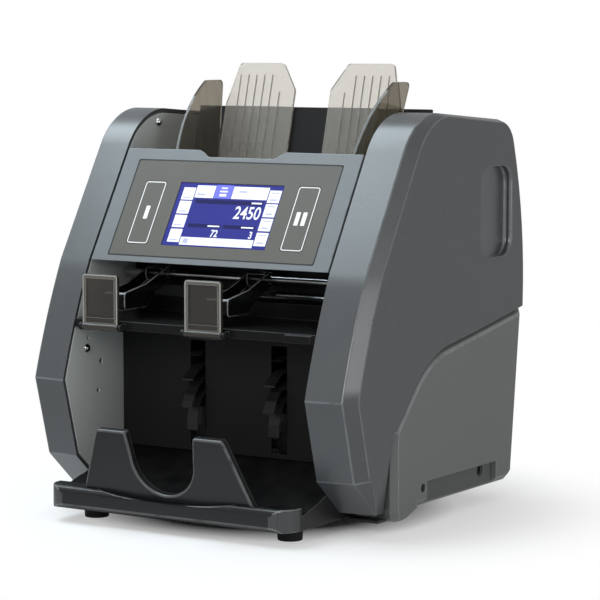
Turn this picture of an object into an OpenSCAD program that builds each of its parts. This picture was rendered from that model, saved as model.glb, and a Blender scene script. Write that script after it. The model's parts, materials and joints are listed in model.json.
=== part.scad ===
// Banknote counter with a top hopper, a reject pocket and a stacker pocket.
// Millimetres. X runs to the right, Y to the back and Z up, with the table at Z = 0.

/* [Casing] */
// Overall width over the side covers
body_w = 296; // [288:1:306]
// Depth of a side cover outside the pocket wall
side_d = 37; // [35:0.5:40]
// Top of the side covers above the table
cover_h = 315; // [312:1:325]
// Thickness of the moulded covers
wall = 3; // [2.4:0.2:3.6]
// Seam between neighbouring covers
seam = 0.6; // [0.4:0.1:0.8]
// Lowest edge of the side covers
skirt_z = 17; // [15.5:0.5:19]
// Rearmost reach of the side covers
rear_y = 154; // [150:1:162]
// Thickness of the pocket walls
liner_t = 2; // [1.5:0.1:2.5]
// Thickness of the steel side frames
frame_t = 2; // [1.5:0.1:2.5]
// Thickness of the base plate
base_t = 3; // [2:0.5:4]
// Height of the rubber feet
foot_h = 10; // [8:0.5:12]
// Diameter of the rubber feet
foot_d = 20; // [16:1:24]

/* [Side profile] */
// Reach of the knee in front of the origin
knee_y = 123; // [118:1:128]
// Height of the knee
knee_z = 107; // [100:1:112]
// Reach of the crease at the shin
shin_y = 106; // [102:1:110]
// Height of the crease at the shin
shin_z = 45; // [40:1:50]
// Reach of the toe
toe_y = 74; // [70:1:78]
// Outward bow between the knee and the control panel
knee_bow = 2; // [1:0.5:4]
// Radius over the front of the top
top_r = 58; // [50:1:62]
// Width of the outer chamfer beside the front band
chamfer_w = 7; // [5:0.5:9]
// Depth of the outer chamfer
chamfer_d = 9.5; // [7:0.5:12]
// Rake of the front band from its inner to its outer edge
band_rake = 3.5; // [2:0.5:5]
// Rounding allowance of the outer edges
edge_in = 2.5; // [1.5:0.5:3.5]
// Height of the seam between upper and lower cover at the back
split_z = 156; // [150:1:160]
// Front edge of the lower cover in front of the origin
lower_front = 52; // [50:1:55]
// Bevel round the lower cover
lower_bevel = 5; // [4:0.5:7]
// Height of the grip recess in the side cover
grip_h = 72; // [60:1:76]
// Depth of the grip recess
grip_depth = 7; // [5:0.5:9]

/* [Control panel] */
// Reach of the panel's lower edge in front of the origin
panel_y = 88; // [84:1:92]
// Height of the panel's lower edge
panel_z = 199; // [195:1:203]
// Tilt of the panel from the horizontal
panel_tilt = 58.7; // [56:0.1:61]
// Length of the panel up its slope
panel_len = 100.4; // [97:0.2:103]
// Depth of the panel's moulded rim
panel_depth = 12; // [10:0.5:14]
// Thickness of the panel's face
panel_t = 2.5; // [2:0.1:3]
// Width of the printed overlay
overlay_w = 188; // [180:1:196]
// Height of the printed overlay
overlay_h = 83.4; // [80:0.2:86]
// Thickness of the printed overlay
overlay_t = 1; // [0.8:0.1:1.4]
// Lower margin under the overlay
overlay_low = 6.1; // [4:0.1:8]
// Width of the screen
screen_w = 95.2; // [90:0.2:100]
// Height of the screen
screen_h = 54.8; // [50:0.2:57]
// Width of a key
key_w = 19.6; // [17:0.2:21]
// Height of a key
key_h = 54.8; // [50:0.2:57]
// Distance of a key's centre from the middle
key_x = 71.2; // [69:0.2:74]
// Lower edge of the screen and the keys above the panel's lower edge
screen_low = 16.2; // [14:0.2:18]
// Travel of a key
key_travel = 0.5; // [0.3:0.1:0.8]
// Width of the finger notch at the top of the panel
notch_w = 86; // [70:1:96]
// Depth of the finger notch
notch_d = 6; // [4:0.5:7]

/* [Hopper] */
// Tilt of the hopper floor
hopper_tilt = 43; // [40:0.5:46]
// Length of the hopper floor
hopper_len = 72; // [68:1:76]
// Lean of the back plates from the vertical
back_lean = 15; // [13:0.5:17]
// Height of the top of the back plates
back_top = 351.5; // [346:0.5:356]
// Reach of the back plates' lower edge behind the origin
plate_foot = 45.5; // [44:0.1:47]
// Height of the back plates' lower edge
plate_low = 254.9; // [253:0.1:258]
// Thickness of the clear plates
plate_t = 2.5; // [2:0.1:3]
// Inner edge of a back plate from the middle
plate_in = 17; // [16.5:0.5:20]
// Outer edge of a back plate from the middle
plate_out = 82; // [80:0.5:84]
// Side guide's distance from the middle at the panel's height
guide_x = 81.6; // [80:0.2:84]
// Flare of the side guides
guide_flare = 6.5; // [5:0.5:8]
// Travel of a guide towards the middle
guide_in = 15; // [12:0.5:16]
// Travel of a guide away from the middle
guide_out = 10; // [8:0.5:12]
// Module of the guide pinion's teeth
tooth_m = 1.5; // [1.4:0.05:1.6]

/* [Reject pocket] */
// Height of the reject shelf
shelf_z = 154.5; // [152:0.5:157]
// Reach of the shelf's front edge
shelf_y = 108; // [104:1:110]
// Height of the shelf's front edge
shelf_lip = 7; // [6:0.5:9]
// Width of a reject stopper
stop_w = 33.5; // [30:0.5:36]
// Height of a reject stopper above its hinge
stop_h = 41; // [38:0.5:44]
// Distance of the left reject stopper's centre from the pocket wall
stop_edge = 29.5; // [27:0.5:33]
// Centre of the right reject stopper
stop_right = 14.5; // [11:0.5:18]
// Thickness of a reject stopper
stop_t = 2.6; // [2.2:0.1:3]
// Width of a hold-down arm
arm_w = 20; // [16:1:24]
// Sideways shift of a hold-down arm behind its stopper
arm_shift = 3.5; // [0:0.5:6]
// Reach of a hold-down arm from its shaft
arm_len = 60; // [54:1:62]
// Drop of a hold-down arm's ski below its shaft
arm_drop = 23.8; // [20:0.2:24]

/* [Stacker pocket] */
// Slope of the stacker floor
tray_tilt = 16; // [13:0.5:18]
// Reach of the tray's lip in front of the origin
lip_y = 147; // [143:1:150]
// Height of the tray's lip
lip_z = 29; // [26:0.5:31]
// Underside of the tray above the table
tray_z = 11.5; // [10.5:0.5:12.5]
// Lean of the stacker stopper
stopper_lean = 13; // [10:0.5:16]
// Height of the stacker stopper along its slope
stopper_h = 59.5; // [52:0.5:62]
// Half width of the stopper at its foot
stopper_foot = 80; // [74:1:82]
// Half width of the stopper at its top
stopper_top = 59; // [56:1:62]
// Half width of the finger cut in the stopper
cut_w = 31; // [26:0.5:34]
// Thickness of the stacker stopper
stopper_t = 7; // [5:0.5:9]
// Tip radius of the stacker wheels
wheel_r = 48; // [44:0.5:50]
// Width of a stacker wheel
wheel_w = 10; // [8:0.5:14]
// Distance of a stacker wheel from the middle
wheel_x = 38; // [30:1:50]
// Number of fins on a stacker wheel
fins = 14; // [10:1:16]

/* [Mechanism] */
// Radius of the roller shafts
shaft_r = 4; // [3:0.25:5]
// Running clearance of shafts and pins
run = 0.05; // [0.03:0.01:0.08]
// Radius of the feed rollers
feed_r = 18; // [16:0.5:19]
// Radius of the pickup rollers
pick_r = 15; // [13:0.5:16]
// Radius of the transport rollers
trans_r = 13; // [11:0.5:14]
// Width of a roller
roller_w = 14; // [10:0.5:18]
// Distance of a roller from the middle
roller_x = 32; // [24:1:60]
// Width of the drive belt
belt_w = 6; // [5:0.5:8]
// Thickness of the drive belt
belt_t = 1.6; // [1.2:0.1:2]
// Radius of the motor
motor_r = 22; // [18:0.5:24]
// Length of the motor
motor_len = 46; // [40:1:55]

/* [Hidden] */
$fn = 48;

// Widths across the machine
half_w = body_w / 2;
pocket_w = body_w - 2 * side_d;
inner_x = pocket_w / 2;
frame_x = inner_x + liner_t;
outer_x = frame_x + frame_t;
span_gap = 0.4;
span = inner_x - span_gap;
slice = 0.1;

// Side profile
top_c = [panel_pt(0, 0)[0] + (cover_h - top_r - panel_z + top_r * cos(panel_tilt)) / tan(panel_tilt)
    + top_r * sin(panel_tilt), cover_h - top_r];
shoulder_run = 36;
shoulder_drop = 7.5;
shoulder_in = 17;
shoulder_z = 27.5;
shoulder_bow = 4;
rear_bow = 6;
heel_in = 16;

// Control panel
overlay_gap = 0.2;
key_gap = 0.4;
flange_lap = 3;
reveal_w = 1.2;
reveal_d = 4;
flange_t = 1.5;
board_back = 9;
board_t = 1.6;

// Hopper
floor_t = 3;
floor_in = 0.5;
floor_at = panel_pt(panel_len, -panel_depth) + [seam, 0];
slot_gap = 2;
bite = 1.2;
pick_at = floor_pt(46, bite - pick_r);
feed_at = floor_pt(hopper_len + 10, bite - feed_r);
sep_r = 12;
sep_turn = 25;
sep_gap = 0.4;
sep_at = feed_at + (feed_r + sep_r + sep_gap) * [cos(sep_turn), sin(sep_turn)];
plate_h = (back_top - plate_low) / cos(back_lean);
back_y = plate_foot + plate_h * sin(back_lean);
back_gap = 1;
back_t = 2.5;
wall_top = cover_h + 2;
arm_slot = plate_h - 30;
arm_h = 8;
pinion_n = 16;
pinion_r = tooth_m * pinion_n / 2;
rack_t = 5;

// Transport
path_y = 75;
path_gap = 4;
trans_y = path_y - trans_r - 0.3;
upper_z = 160;
lower_z = 85;
gate_at = [36, 152];
gate_r = 3;

// Stacker
wheel_at = [-12, 92];
hub_r = 14;
fin_t = 1.4;
panel_back = wheel_at[0] - 32;
tray_back = panel_back + 4;

// Reject pocket
stop_left = stop_edge - inner_x;
stop_axis = [-shelf_y - 4.5, shelf_z - 5];
pin_r = 1.5;
knuckle_r = 3;
knuckle_gap = 0.3;
arm_axis = [-40, panel_z - 13];
arm_pin_r = 3;
arm_t = 2;
arm_hub = 6;
arm_nose = 14;
arm_flat = 29;

// Rear
rear_in = 3;
door_at = [rear_y - rear_in, split_z - 4];
door_gap = 2;
ear_w = 8;
ear_x = 86;
ear_r = 3;

// Drive
motor_at = [100, 52];
pulley_x = outer_x + 4;
pulley_step = belt_w + 4;

function panel_pt(u, n) = [-panel_y + u * cos(panel_tilt) - n * sin(panel_tilt),
    panel_z + u * sin(panel_tilt) + n * cos(panel_tilt)];
function floor_pt(u, n) = floor_at + [u * cos(hopper_tilt) + n * sin(hopper_tilt),
    -u * sin(hopper_tilt) + n * cos(hopper_tilt)];
function arc(c, r, a, b, n) = [for (i = [0:n]) c + r * [cos(a + (b - a) * i / n), sin(a + (b - a) * i / n)]];
// Points after p up to q on a curve that bows out to the left of the line from p to q
function bow(p, q, rise, n) = [for (i = [1:n]) let (t = i / n, d = (q - p) / norm(q - p))
    p + (q - p) * t + [-d[1], d[0]] * 4 * rise * t * (1 - t)];

// Outline of a side cover seen from the right, with the front moved back by a shift
function side_pts(shift) = let (s = [shift, 0], knee = [-knee_y, knee_z] + s, low = panel_pt(0, 0) + s,
    top = [rear_y - shoulder_run, cover_h - shoulder_drop], shoulder = [rear_y - shoulder_in, cover_h - shoulder_z],
    belly = [rear_y, split_z])
    concat([[-toe_y, skirt_z] + s, [-shin_y, shin_z] + s, knee], bow(knee, low, knee_bow, 8),
        arc(top_c + s, top_r, 90 + panel_tilt, 90, 14), [top], bow(top, shoulder, shoulder_bow, 6),
        bow(shoulder, belly, rear_bow, 8), [[rear_y - heel_in, skirt_z]]);

// Seam between the covers from the back to the front corner of the lower cover
function seam_pts() = let (back = [rear_y - 0.2, split_z - seam], bend = [26, split_z - 21], fall = [-30, split_z - 55])
    concat([back], bow(back, bend, 0.5, 3), bow(bend, fall, -6, 8), [fall + (lower_front - 33) * [-1, -1]]);
// Outline of the lower cover, with a rounded corner under the seam
function lower_pts() = concat(seam_pts(), [[-lower_front, split_z - 78], [-lower_front, skirt_z - 1.4],
    [rear_y - heel_in - 8, skirt_z - 1.4], [rear_y - heel_in, skirt_z + 3]]);

module side(s) { mirror([s < 0 ? 1 : 0, 0, 0]) children(); }
module sides() { for (s = [-1, 1]) side(s) children(); }
// Stands a drawing in Y and Z up, with its depth running to +X from x
module stand(x, depth) { translate([x, 0, 0]) rotate([90, 0, 90]) linear_extrude(depth) children(); }
module on_panel() { translate([0, -panel_y, panel_z]) rotate([panel_tilt, 0, 0]) children(); }
module on_floor() { translate([0, floor_at[0], floor_at[1]]) rotate([-hopper_tilt, 0, 0]) children(); }
module on_back() { translate([0, back_y, back_top]) rotate([90 - back_lean, 0, 0]) children(); }
module at(p) { translate([0, p[0], p[1]]) children(); }
// A rod along X from x0 to x1
module rod(r, x0, x1) { translate([x0, 0, 0]) rotate([0, 90, 0]) cylinder(r = r, h = x1 - x0); }
module rounded(w, h, r) { hull() for (x = [-1, 1], y = [-1, 1])
    translate([x * (w / 2 - r), y * (h / 2 - r)]) circle(r, $fn = 24); }

// Solid of a side cover, drawn in by an inset for the hollow inside
module cover_body(inset) {
    hull() {
        stand(inner_x + (inset > 0 ? -1 : 0), slice) offset(delta = -inset) polygon(side_pts(0));
        stand(half_w - chamfer_w - inset / 2, slice) offset(delta = -inset) polygon(side_pts(band_rake));
        stand(half_w - inset - slice, slice) offset(delta = -inset - edge_in)
            polygon(side_pts(band_rake + chamfer_d));
    }
}
module lower_region(grow) {
    corner = [-lower_front - 7, split_z - 84];
    polygon(concat([[rear_y + 20, split_z + grow]], [for (p = seam_pts()) p + [-grow, grow]], [corner + [-grow, grow]],
        [[corner[0] + 4 - grow, 0], [rear_y + 20, 0]]));
}
// Finger hollow in the side, deep at its rear rim and running out to the front
module grip(grow) {
    mid = [104, 235];
    w = 52;
    intersection() {
        stand(half_w - 30, 60) translate(mid) rounded(w + 2 * grow, grip_h + 2 * grow, 14);
        translate([half_w - grow, mid[0] - w / 2, mid[1]]) rotate([0, 0, atan(grip_depth / w)])
            translate([0, -20, -60]) cube([40, 120, 120]);
    }
}
// Facet where the tail of the cover tucks in beside the lower cover
module tail_facet(grow) {
    translate([half_w - grow, -lower_front - 8, split_z - 84.5]) rotate([225, 0, 0]) rotate([0, -facet_tilt, 0])
        translate([0, -0.5, 0]) cube([60, 150, 80]);
}
facet_tilt = 12;
module side_cover(s) {
    side(s) color([0.36, 0.39, 0.41]) difference() {
        cover_body(0);
        difference() {
            cover_body(wall);
            grip(wall);
            tail_facet(wall);
        }
        grip(0);
        tail_facet(0);
        stand(inner_x - 2, body_w) lower_region(seam);
    }
}
module lower_body(inset) {
    hull() {
        stand(outer_x + 1 - (inset > 0 ? 2 : 0), slice) offset(delta = -inset) polygon(lower_pts());
        stand(half_w - 1 - lower_bevel - inset / 2, slice) offset(delta = -inset) polygon(lower_pts());
        stand(half_w - 1 - inset - slice, slice) offset(delta = -inset - lower_bevel) polygon(lower_pts());
    }
}
foot_screws = [[-9, 29.4], [86.7, 29.4]];
module screw_recess(grow) {
    translate([half_w - 4 - grow, -3 - grow, 0]) cube([20, 112 + 2 * grow, 34 + grow]);
}
// Toe of the lower cover, reaching down in front of the screw recess
module lower_toe() {
    z = skirt_z - 1.4;
    toe = [[0, 8], [0, 0], [2, -5.6], [6, -7.2], [14, -6.2], [24, -3.1], [33, 0], [33, 8]];
    hull() {
        stand(half_w - 24, 24 - 1 - lower_bevel) translate([-lower_front, z]) polygon(toe);
        stand(half_w - 1 - slice, slice) translate([-lower_front + lower_bevel, z]) polygon([for (p = toe) p * 0.85]);
    }
}
belt_room = half_w - 11;
module lower_cover(s) {
    side(s) color([0.33, 0.36, 0.38]) difference() {
        union() {
            difference() {
                lower_body(0);
                difference() {
                    lower_body(wall);
                    screw_recess(wall);
                }
                translate([outer_x - 1, wall - lower_front, 40])
                    cube([belt_room - outer_x + 1, rear_y - heel_in + lower_front - 2 * wall, 200]);
            }
            lower_toe();
            for (p = foot_screws) at(p) rod(6, outer_x, half_w - 1 - wall);
        }
        screw_recess(0);
        for (p = foot_screws) at(p) rod(1.5, outer_x - 1, half_w);
        for (p = foot_screws) at(p) rod(3.5, half_w - 8, half_w);
    }
}
module frame_outline(inset) {
    difference() {
        offset(delta = -inset) polygon(side_pts(0));
        translate([rear_y - 14, 0]) square([40, 400]);
        translate([-200, 0]) square([400, foot_h + base_t]);
    }
}
shafts = [pick_at, feed_at, [trans_y, upper_z], [trans_y, lower_z], wheel_at];
bush_r = shaft_r + 2.5;
module side_frame(s) {
    side(s) color("silver") difference() {
        stand(frame_x, frame_t) frame_outline(wall + seam);
        for (p = shafts) at(p) rod(bush_r + 0.02, frame_x - 1, outer_x + 1);
        at(gate_at) rod(gate_r + run, frame_x - 1, outer_x + 1);
        at(motor_at) rod(8, frame_x - 1, outer_x + 1);
        for (p = foot_screws) at(p) rod(1.5, frame_x - 1, outer_x + 1);
    }
}
sensor_spots = [[-90, 137, 1.5], [-91, 129, 3.5], [-73, 117, 2.2], [-77, 94, 1.8]];
hopper_screw = [6.5, cover_h - 11];
module pocket_wall(s) {
    side(s) color([0.2, 0.21, 0.22]) difference() {
        stand(inner_x, liner_t) frame_outline(wall + seam);
        for (p = shafts) at(p) rod(bush_r + 1, inner_x - 1, frame_x + 1);
        at(gate_at) rod(gate_r + 0.5, inner_x - 1, frame_x + 1);
        at(motor_at) rod(9, inner_x - 1, frame_x + 1);
        at(arm_axis) rod(arm_pin_r, inner_x - 1, frame_x + 1);
        for (p = sensor_spots) at(p) rod(p[2], inner_x - 1, frame_x + 1);
        at(hopper_screw) rod(2, inner_x - 1, frame_x + 1);
    }
}
// Shell of the back between the side covers, cut from the side outline
module rear_shell(low, high, front) {
    stand(-inner_x + seam, 2 * (inner_x - seam)) intersection() {
        difference() {
            offset(delta = -rear_in) polygon(side_pts(0));
            offset(delta = -rear_in - wall) polygon(side_pts(0));
        }
        translate([front, low]) square([300, high - low]);
    }
}
function back_face(z, n) = back_y - (back_top - z) * tan(back_lean) + n / cos(back_lean);
door_front = rear_y - 42;
base_front = -66;
module base_plate() {
    color([0.1, 0.1, 0.1]) difference() {
        union() {
            translate([-outer_x, base_front, foot_h]) cube([2 * outer_x, rear_y - heel_in - 4 - base_front, base_t]);
            sides() translate([outer_x - 1, base_front, foot_h]) cube([26, -lower_front - 1 - base_front, base_t - 1]);
        }
        for (y = [20 : 14 : 76]) translate([-30, y, foot_h - 1]) cube([60, 5, base_t + 2]);
    }
}
module left_frame() { side_frame(-1); }
module right_frame() { side_frame(1); }
module left_wall() { pocket_wall(-1); }
module right_wall() { pocket_wall(1); }
module left_cover() { side_cover(-1); }
module right_cover() { side_cover(1); }
module left_lower_cover() { lower_cover(-1); }
module right_lower_cover() { lower_cover(1); }
module top_cover() {
    front = back_face(cover_h - rear_in, plate_t + back_gap + back_t) + seam;
    color([0.36, 0.39, 0.41]) difference() {
        rear_shell(200, 400, front);
        translate([-half_w, door_front - seam, 0]) cube([body_w, 400, 400]);
    }
}
module door_ears(x, r) { sides() at(door_at) rod(r, x, x + ear_w); }
module door_notch(x) { sides() at(door_at) rod(ear_r + 0.5, x, x + ear_w + 2 * knuckle_gap); }
inlet_at = [-70, 62];
inlet_size = [28, 20];
switch_at = [-34, 62];
switch_size = [19, 13];
module rear_panel() {
    color([0.2, 0.21, 0.22]) difference() {
        union() {
            rear_shell(foot_h + base_t + 0.5, door_at[1] - door_gap, rear_y - heel_in - 12);
            door_ears(ear_x, ear_r);
            sides() translate([ear_x, door_at[0] - wall, door_at[1] - 8]) cube([ear_w, wall, 8]);
        }
        door_ears(ear_x, pin_r);
        door_notch(ear_x - ear_w - 2 * knuckle_gap);
        translate([inlet_at[0] - inlet_size[0] / 2, 80, inlet_at[1] - inlet_size[1] / 2])
            cube([inlet_size[0], 100, inlet_size[1]]);
        translate([switch_at[0] - switch_size[0] / 2, 80, switch_at[1] - switch_size[1] / 2])
            cube([switch_size[0], 100, switch_size[1]]);
        for (x = [30 : 8 : 86], z = [40, 60]) translate([x, 80, z]) cube([4, 100, 14]);
    }
}
module rear_door() {
    color([0.33, 0.36, 0.38]) difference() {
        union() {
            rear_shell(door_at[1] + door_gap, 400, door_front);
            door_ears(ear_x - ear_w - knuckle_gap, ear_r);
            sides() translate([ear_x - ear_w - knuckle_gap, door_at[0] - wall, door_at[1]]) cube([ear_w, wall, 8]);
        }
        door_ears(ear_x - ear_w - knuckle_gap, pin_r + run);
        door_notch(ear_x - knuckle_gap);
    }
}
screen_mid = screen_low + screen_h / 2;
key_mid = screen_low + key_h / 2;
module panel_windows(grow) {
    translate([0, screen_mid]) square([screen_w + 2 * grow, screen_h + 2 * grow], center = true);
    for (s = [-1, 1]) translate([s * key_x, key_mid]) rounded(key_w + 2 * grow, key_h + 2 * grow, 2);
}
module fascia() {
    fascia_w = 2 * (inner_x - seam);
    color([0.36, 0.39, 0.41]) difference() {
        on_panel() difference() {
            union() {
                translate([-fascia_w / 2, 0, -panel_depth]) cube([fascia_w, panel_len, panel_depth]);
                translate([-fascia_w / 2, -panel_depth, -panel_depth]) cube([fascia_w, panel_depth, panel_depth]);
            }
            translate([-fascia_w / 2 + panel_t, -panel_depth, -panel_depth - 1])
                cube([fascia_w - 2 * panel_t, panel_depth + panel_len - panel_t, panel_depth - panel_t + 1]);
            sides() translate([fascia_w / 2 - reveal_w, -panel_depth - 1, -reveal_d])
                cube([reveal_w + 1, panel_len + panel_depth + 2, reveal_d + 1]);
            translate([-overlay_w / 2 - overlay_gap, overlay_low - overlay_gap, -overlay_t])
                cube([overlay_w + 2 * overlay_gap, overlay_h + 2 * overlay_gap, overlay_t + 1]);
            translate([0, 0, -panel_depth]) linear_extrude(panel_depth + 1) panel_windows(key_gap);
            translate([0, 0, -panel_depth - 1]) linear_extrude(panel_depth + 2) polygon(concat(
                [[notch_w / 2, panel_len + 1], [-notch_w / 2, panel_len + 1]],
                arc([2 * notch_d + 2 - notch_w / 2, panel_len], notch_d, 210, 270, 5),
                arc([notch_w / 2 - 2 * notch_d - 2, panel_len], notch_d, 270, 330, 5)));
        }
        translate([-half_w, -panel_y - 60, panel_z - 100]) cube([body_w, 120, 100]);
    }
    color([0.36, 0.39, 0.41]) on_panel() for (x = [-1, 1], u = [screen_low, screen_low + screen_h])
        translate([x * (key_x - key_w / 2 - 6), u, -board_back]) cylinder(r = 2.5, h = board_back - panel_t);
}
module overlay() {
    color([0.3, 0.28, 0.26]) on_panel() translate([0, 0, -overlay_t]) linear_extrude(overlay_t) difference() {
        translate([0, overlay_low + overlay_h / 2]) rounded(overlay_w, overlay_h, 2);
        panel_windows(key_gap);
    }
}
module touchscreen() {
    color([0.25, 0.22, 0.6]) on_panel() translate([0, screen_mid, 0]) {
        translate([0, 0, -panel_t - flange_t]) linear_extrude(panel_t + flange_t - 0.4)
            square([screen_w, screen_h], center = true);
        translate([0, 0, -panel_t - flange_t]) linear_extrude(flange_t)
            square([screen_w + 2 * flange_lap, screen_h + 2 * flange_lap], center = true);
    }
}
module control_board() {
    color("darkgreen") on_panel() {
        translate([10 - overlay_w / 2, overlay_low + 4, -board_back - board_t])
            cube([overlay_w - 20, overlay_h - 15.4, board_t]);
        for (s = [-1, 1]) translate([s * key_x - 4, key_mid - 4, -board_back]) cube([8, 8, 3]);
    }
}
module key(s) {
    color([0.3, 0.28, 0.26]) on_panel() translate([s * key_x, key_mid, 0]) {
        translate([0, 0, -panel_t - 0.3]) linear_extrude(panel_t + 0.3) rounded(key_w, key_h, 2);
        translate([0, 0, -panel_t - 0.3 - flange_t]) linear_extrude(flange_t)
            rounded(key_w + 2 * flange_lap - 1, key_h + 2 * flange_lap - 1, 2);
    }
}
module start_key() { key(-1); }
module stop_key() { key(1); }
module roller_slots(x, u, h) { for (s = [-1, 1]) translate([s * x - roller_w / 2 - slot_gap,
    u - h, -20]) cube([roller_w + 2 * slot_gap, 2 * h, 40]); }
module hopper_floor() {
    color([0.15, 0.15, 0.16]) on_floor() difference() {
        union() {
            translate([-span, floor_in, -floor_t]) cube([2 * span, hopper_len - floor_in, floor_t]);
            for (x = [-88 : 22 : 88]) translate([x - 1, 4, 0]) cube([2, hopper_len - 20, 0.8]);
        }
        roller_slots(roller_x, 46, 13);
        roller_slots(roller_x, hopper_len + 2, 10);
    }
}
wall_z = -plate_t - back_gap - back_t;
module hopper_back() {
    low = -(back_top - sep_at[1] - sep_r - 3) / cos(back_lean);
    high = -(back_top - wall_top) / cos(back_lean);
    color([0.15, 0.15, 0.16]) on_back() difference() {
        union() {
            translate([-span, low, wall_z]) cube([2 * span, high - low, back_t]);
            translate([0, -arm_slot, wall_z - rack_t - 1]) cylinder(r = 4, h = rack_t + 1.5);
        }
        for (s = [-1, 1]) translate([s > 0 ? carrier_x - guide_in - 1 : -carrier_x - carrier_w - guide_out - 1,
            -arm_slot - arm_h / 2, wall_z - 1])
            cube([carrier_w + guide_in + guide_out + 2, arm_h, back_t + 2]);
    }
}
carrier_x = 58;
carrier_w = 8;
// Rounds the outward corners of a clear plate
module rounded_tips(r) { offset(r = r, $fn = 32) offset(delta = -r) children(); }
// Outline of a side guide: along the floor, up the back plate and down a swept front edge
guide_z = 284;
module side_guide(s) {
    foot = floor_pt(20, 1.5);
    heel = floor_pt(50, 1.5);
    tip_z = back_top - 13.5;
    rear = function (z) back_face(z, 0) - 0.4;
    color([0.45, 0.38, 0.3, 0.6]) side(s) translate([guide_x, 0, guide_z]) rotate([0, guide_flare, 0])
        translate([0, 0, -guide_z]) stand(0, plate_t) rounded_tips(4) polygon(concat([foot, heel,
            [rear(heel[1] + 6), heel[1] + 6], [rear(tip_z), tip_z], [rear(tip_z) - 24, tip_z]],
            bow([rear(tip_z) - 24, tip_z], foot + [-2, 6], -8, 8)));
}
module left_side_guide() { side_guide(-1); }
module right_side_guide() { side_guide(1); }
rib_pitch = 7.7;
module back_plate(s) {
    clip = [14, 22];
    shoulder = [9, 35];
    color([0.8, 0.75, 0.7, 0.5]) side(s) on_back() {
        translate([0, 0, -plate_t]) linear_extrude(plate_t) rounded_tips(4) polygon([[plate_in, -plate_h],
            [plate_out, -plate_h], [plate_out, -shoulder[1]], [plate_out - shoulder[0], 0], [plate_in + clip[0], 0],
            [plate_in, -clip[1]]]);
        for (i = [0 : 5]) translate([plate_in + 15 + i * rib_pitch - 0.4 - (i == 0 ? 1 : 0), -plate_h + 8, 0])
            cube([0.8, plate_h - 18 - (i == 0 ? 14 : 0), 0.5]);
    }
}
module left_back_plate() { back_plate(-1); }
module right_back_plate() { back_plate(1); }
tooth_in = 0.42;
module rack() {
    pitch = PI * tooth_m;
    base = pinion_r + 1.25 * tooth_m;
    tip = pinion_r - tooth_m;
    flank = tan(20);
    color([0.1, 0.1, 0.1]) on_back() translate([0, -arm_slot, 0]) {
        translate([-carrier_x - carrier_w, -arm_h / 2 + 0.5, wall_z - 0.5 - rack_t])
            cube([carrier_w, arm_h - 1, rack_t + 0.5 - wall_z - plate_t]);
        translate([-carrier_x - carrier_w, -arm_h / 2 + 0.5, wall_z - 0.5 - rack_t])
            cube([carrier_w, base + 6 + arm_h / 2 - 0.5, rack_t]);
        translate([0, 0, wall_z - 0.5 - rack_t]) linear_extrude(rack_t) {
            translate([-carrier_x - carrier_w, base]) square([carrier_x + carrier_w + 22, 6]);
            for (i = [-5 : 4]) translate([(i + 0.5) * pitch, 0]) polygon([
                [-pitch * tooth_in / 2 - (base - pinion_r) * flank, base + 0.1],
                [-pitch * tooth_in / 2 + tooth_m * flank, tip + 0.2],
                [pitch * tooth_in / 2 - tooth_m * flank, tip + 0.2],
                [pitch * tooth_in / 2 + (base - pinion_r) * flank, base + 0.1]]);
        }
    }
}
module left_guide_rack() { rack(); }
module right_guide_rack() {
    on_back() translate([0, -arm_slot, 0]) rotate([0, 0, 180]) translate([0, arm_slot, 0])
        rotate([back_lean - 90, 0, 0]) translate([0, -back_y, -back_top]) rack();
}
module guide_pinion() {
    pitch = PI * tooth_m;
    root = pinion_r - 1.25 * tooth_m;
    flank = tan(20);
    color([0.85, 0.85, 0.8]) on_back() translate([0, -arm_slot, wall_z - 0.5 - rack_t]) linear_extrude(rack_t)
        difference() {
            union() {
                circle(root);
                for (i = [0 : pinion_n - 1]) rotate(i * 360 / pinion_n) polygon([
                    [-pitch * tooth_in / 2 - 1.25 * tooth_m * flank, root - 0.5],
                    [pitch * tooth_in / 2 + 1.25 * tooth_m * flank, root - 0.5],
                    [pitch * tooth_in / 2 - tooth_m * flank, pinion_r + tooth_m - 0.2],
                    [-pitch * tooth_in / 2 + tooth_m * flank, pinion_r + tooth_m - 0.2]]);
            }
            circle(4 + run);
        }
}
module separator_roller() {
    color([0.15, 0.15, 0.15]) at(sep_at) {
        rod(shaft_r, -span, span);
        rollers(sep_r, roller_w - 4);
    }
}
module rollers(r, w) { for (s = [-1, 1]) rod(r, s * roller_x - w / 2, s * roller_x + w / 2); }
sensor_h = 20;
sensor_z = (upper_z + lower_z) / 2 - sensor_h / 2;
module image_sensors() {
    color([0.12, 0.12, 0.14]) for (y = [path_y - path_gap / 2 - sensor_h, path_y + path_gap / 2])
        translate([-span, y, sensor_z]) cube([2 * span, sensor_h, sensor_h]);
}
guide_t = 1.5;
module paper_guides() {
    color([0.6, 0.62, 0.64]) for (z = [[sensor_z + sensor_h + seam, upper_z + 22], [lower_z - 19, sensor_z - seam]]) {
        difference() {
            translate([-span, path_y - path_gap / 2 - guide_t, z[0]]) cube([2 * span, guide_t, z[1] - z[0]]);
            for (s = [-1, 1], c = [upper_z, lower_z]) translate([s * roller_x - roller_w / 2 - slot_gap,
                path_y - path_gap, c - 12]) cube([roller_w + 2 * slot_gap, path_gap, 24]);
        }
        translate([-span, path_y + path_gap / 2, z[0]]) cube([2 * span, guide_t, z[1] - z[0]]);
    }
}
stop_centres = [stop_left, stop_right];
lug_w = 3;
shelf_t = 3;
shelf_back = 24;
end_w = 23;
exit_in = 10.6;
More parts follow.
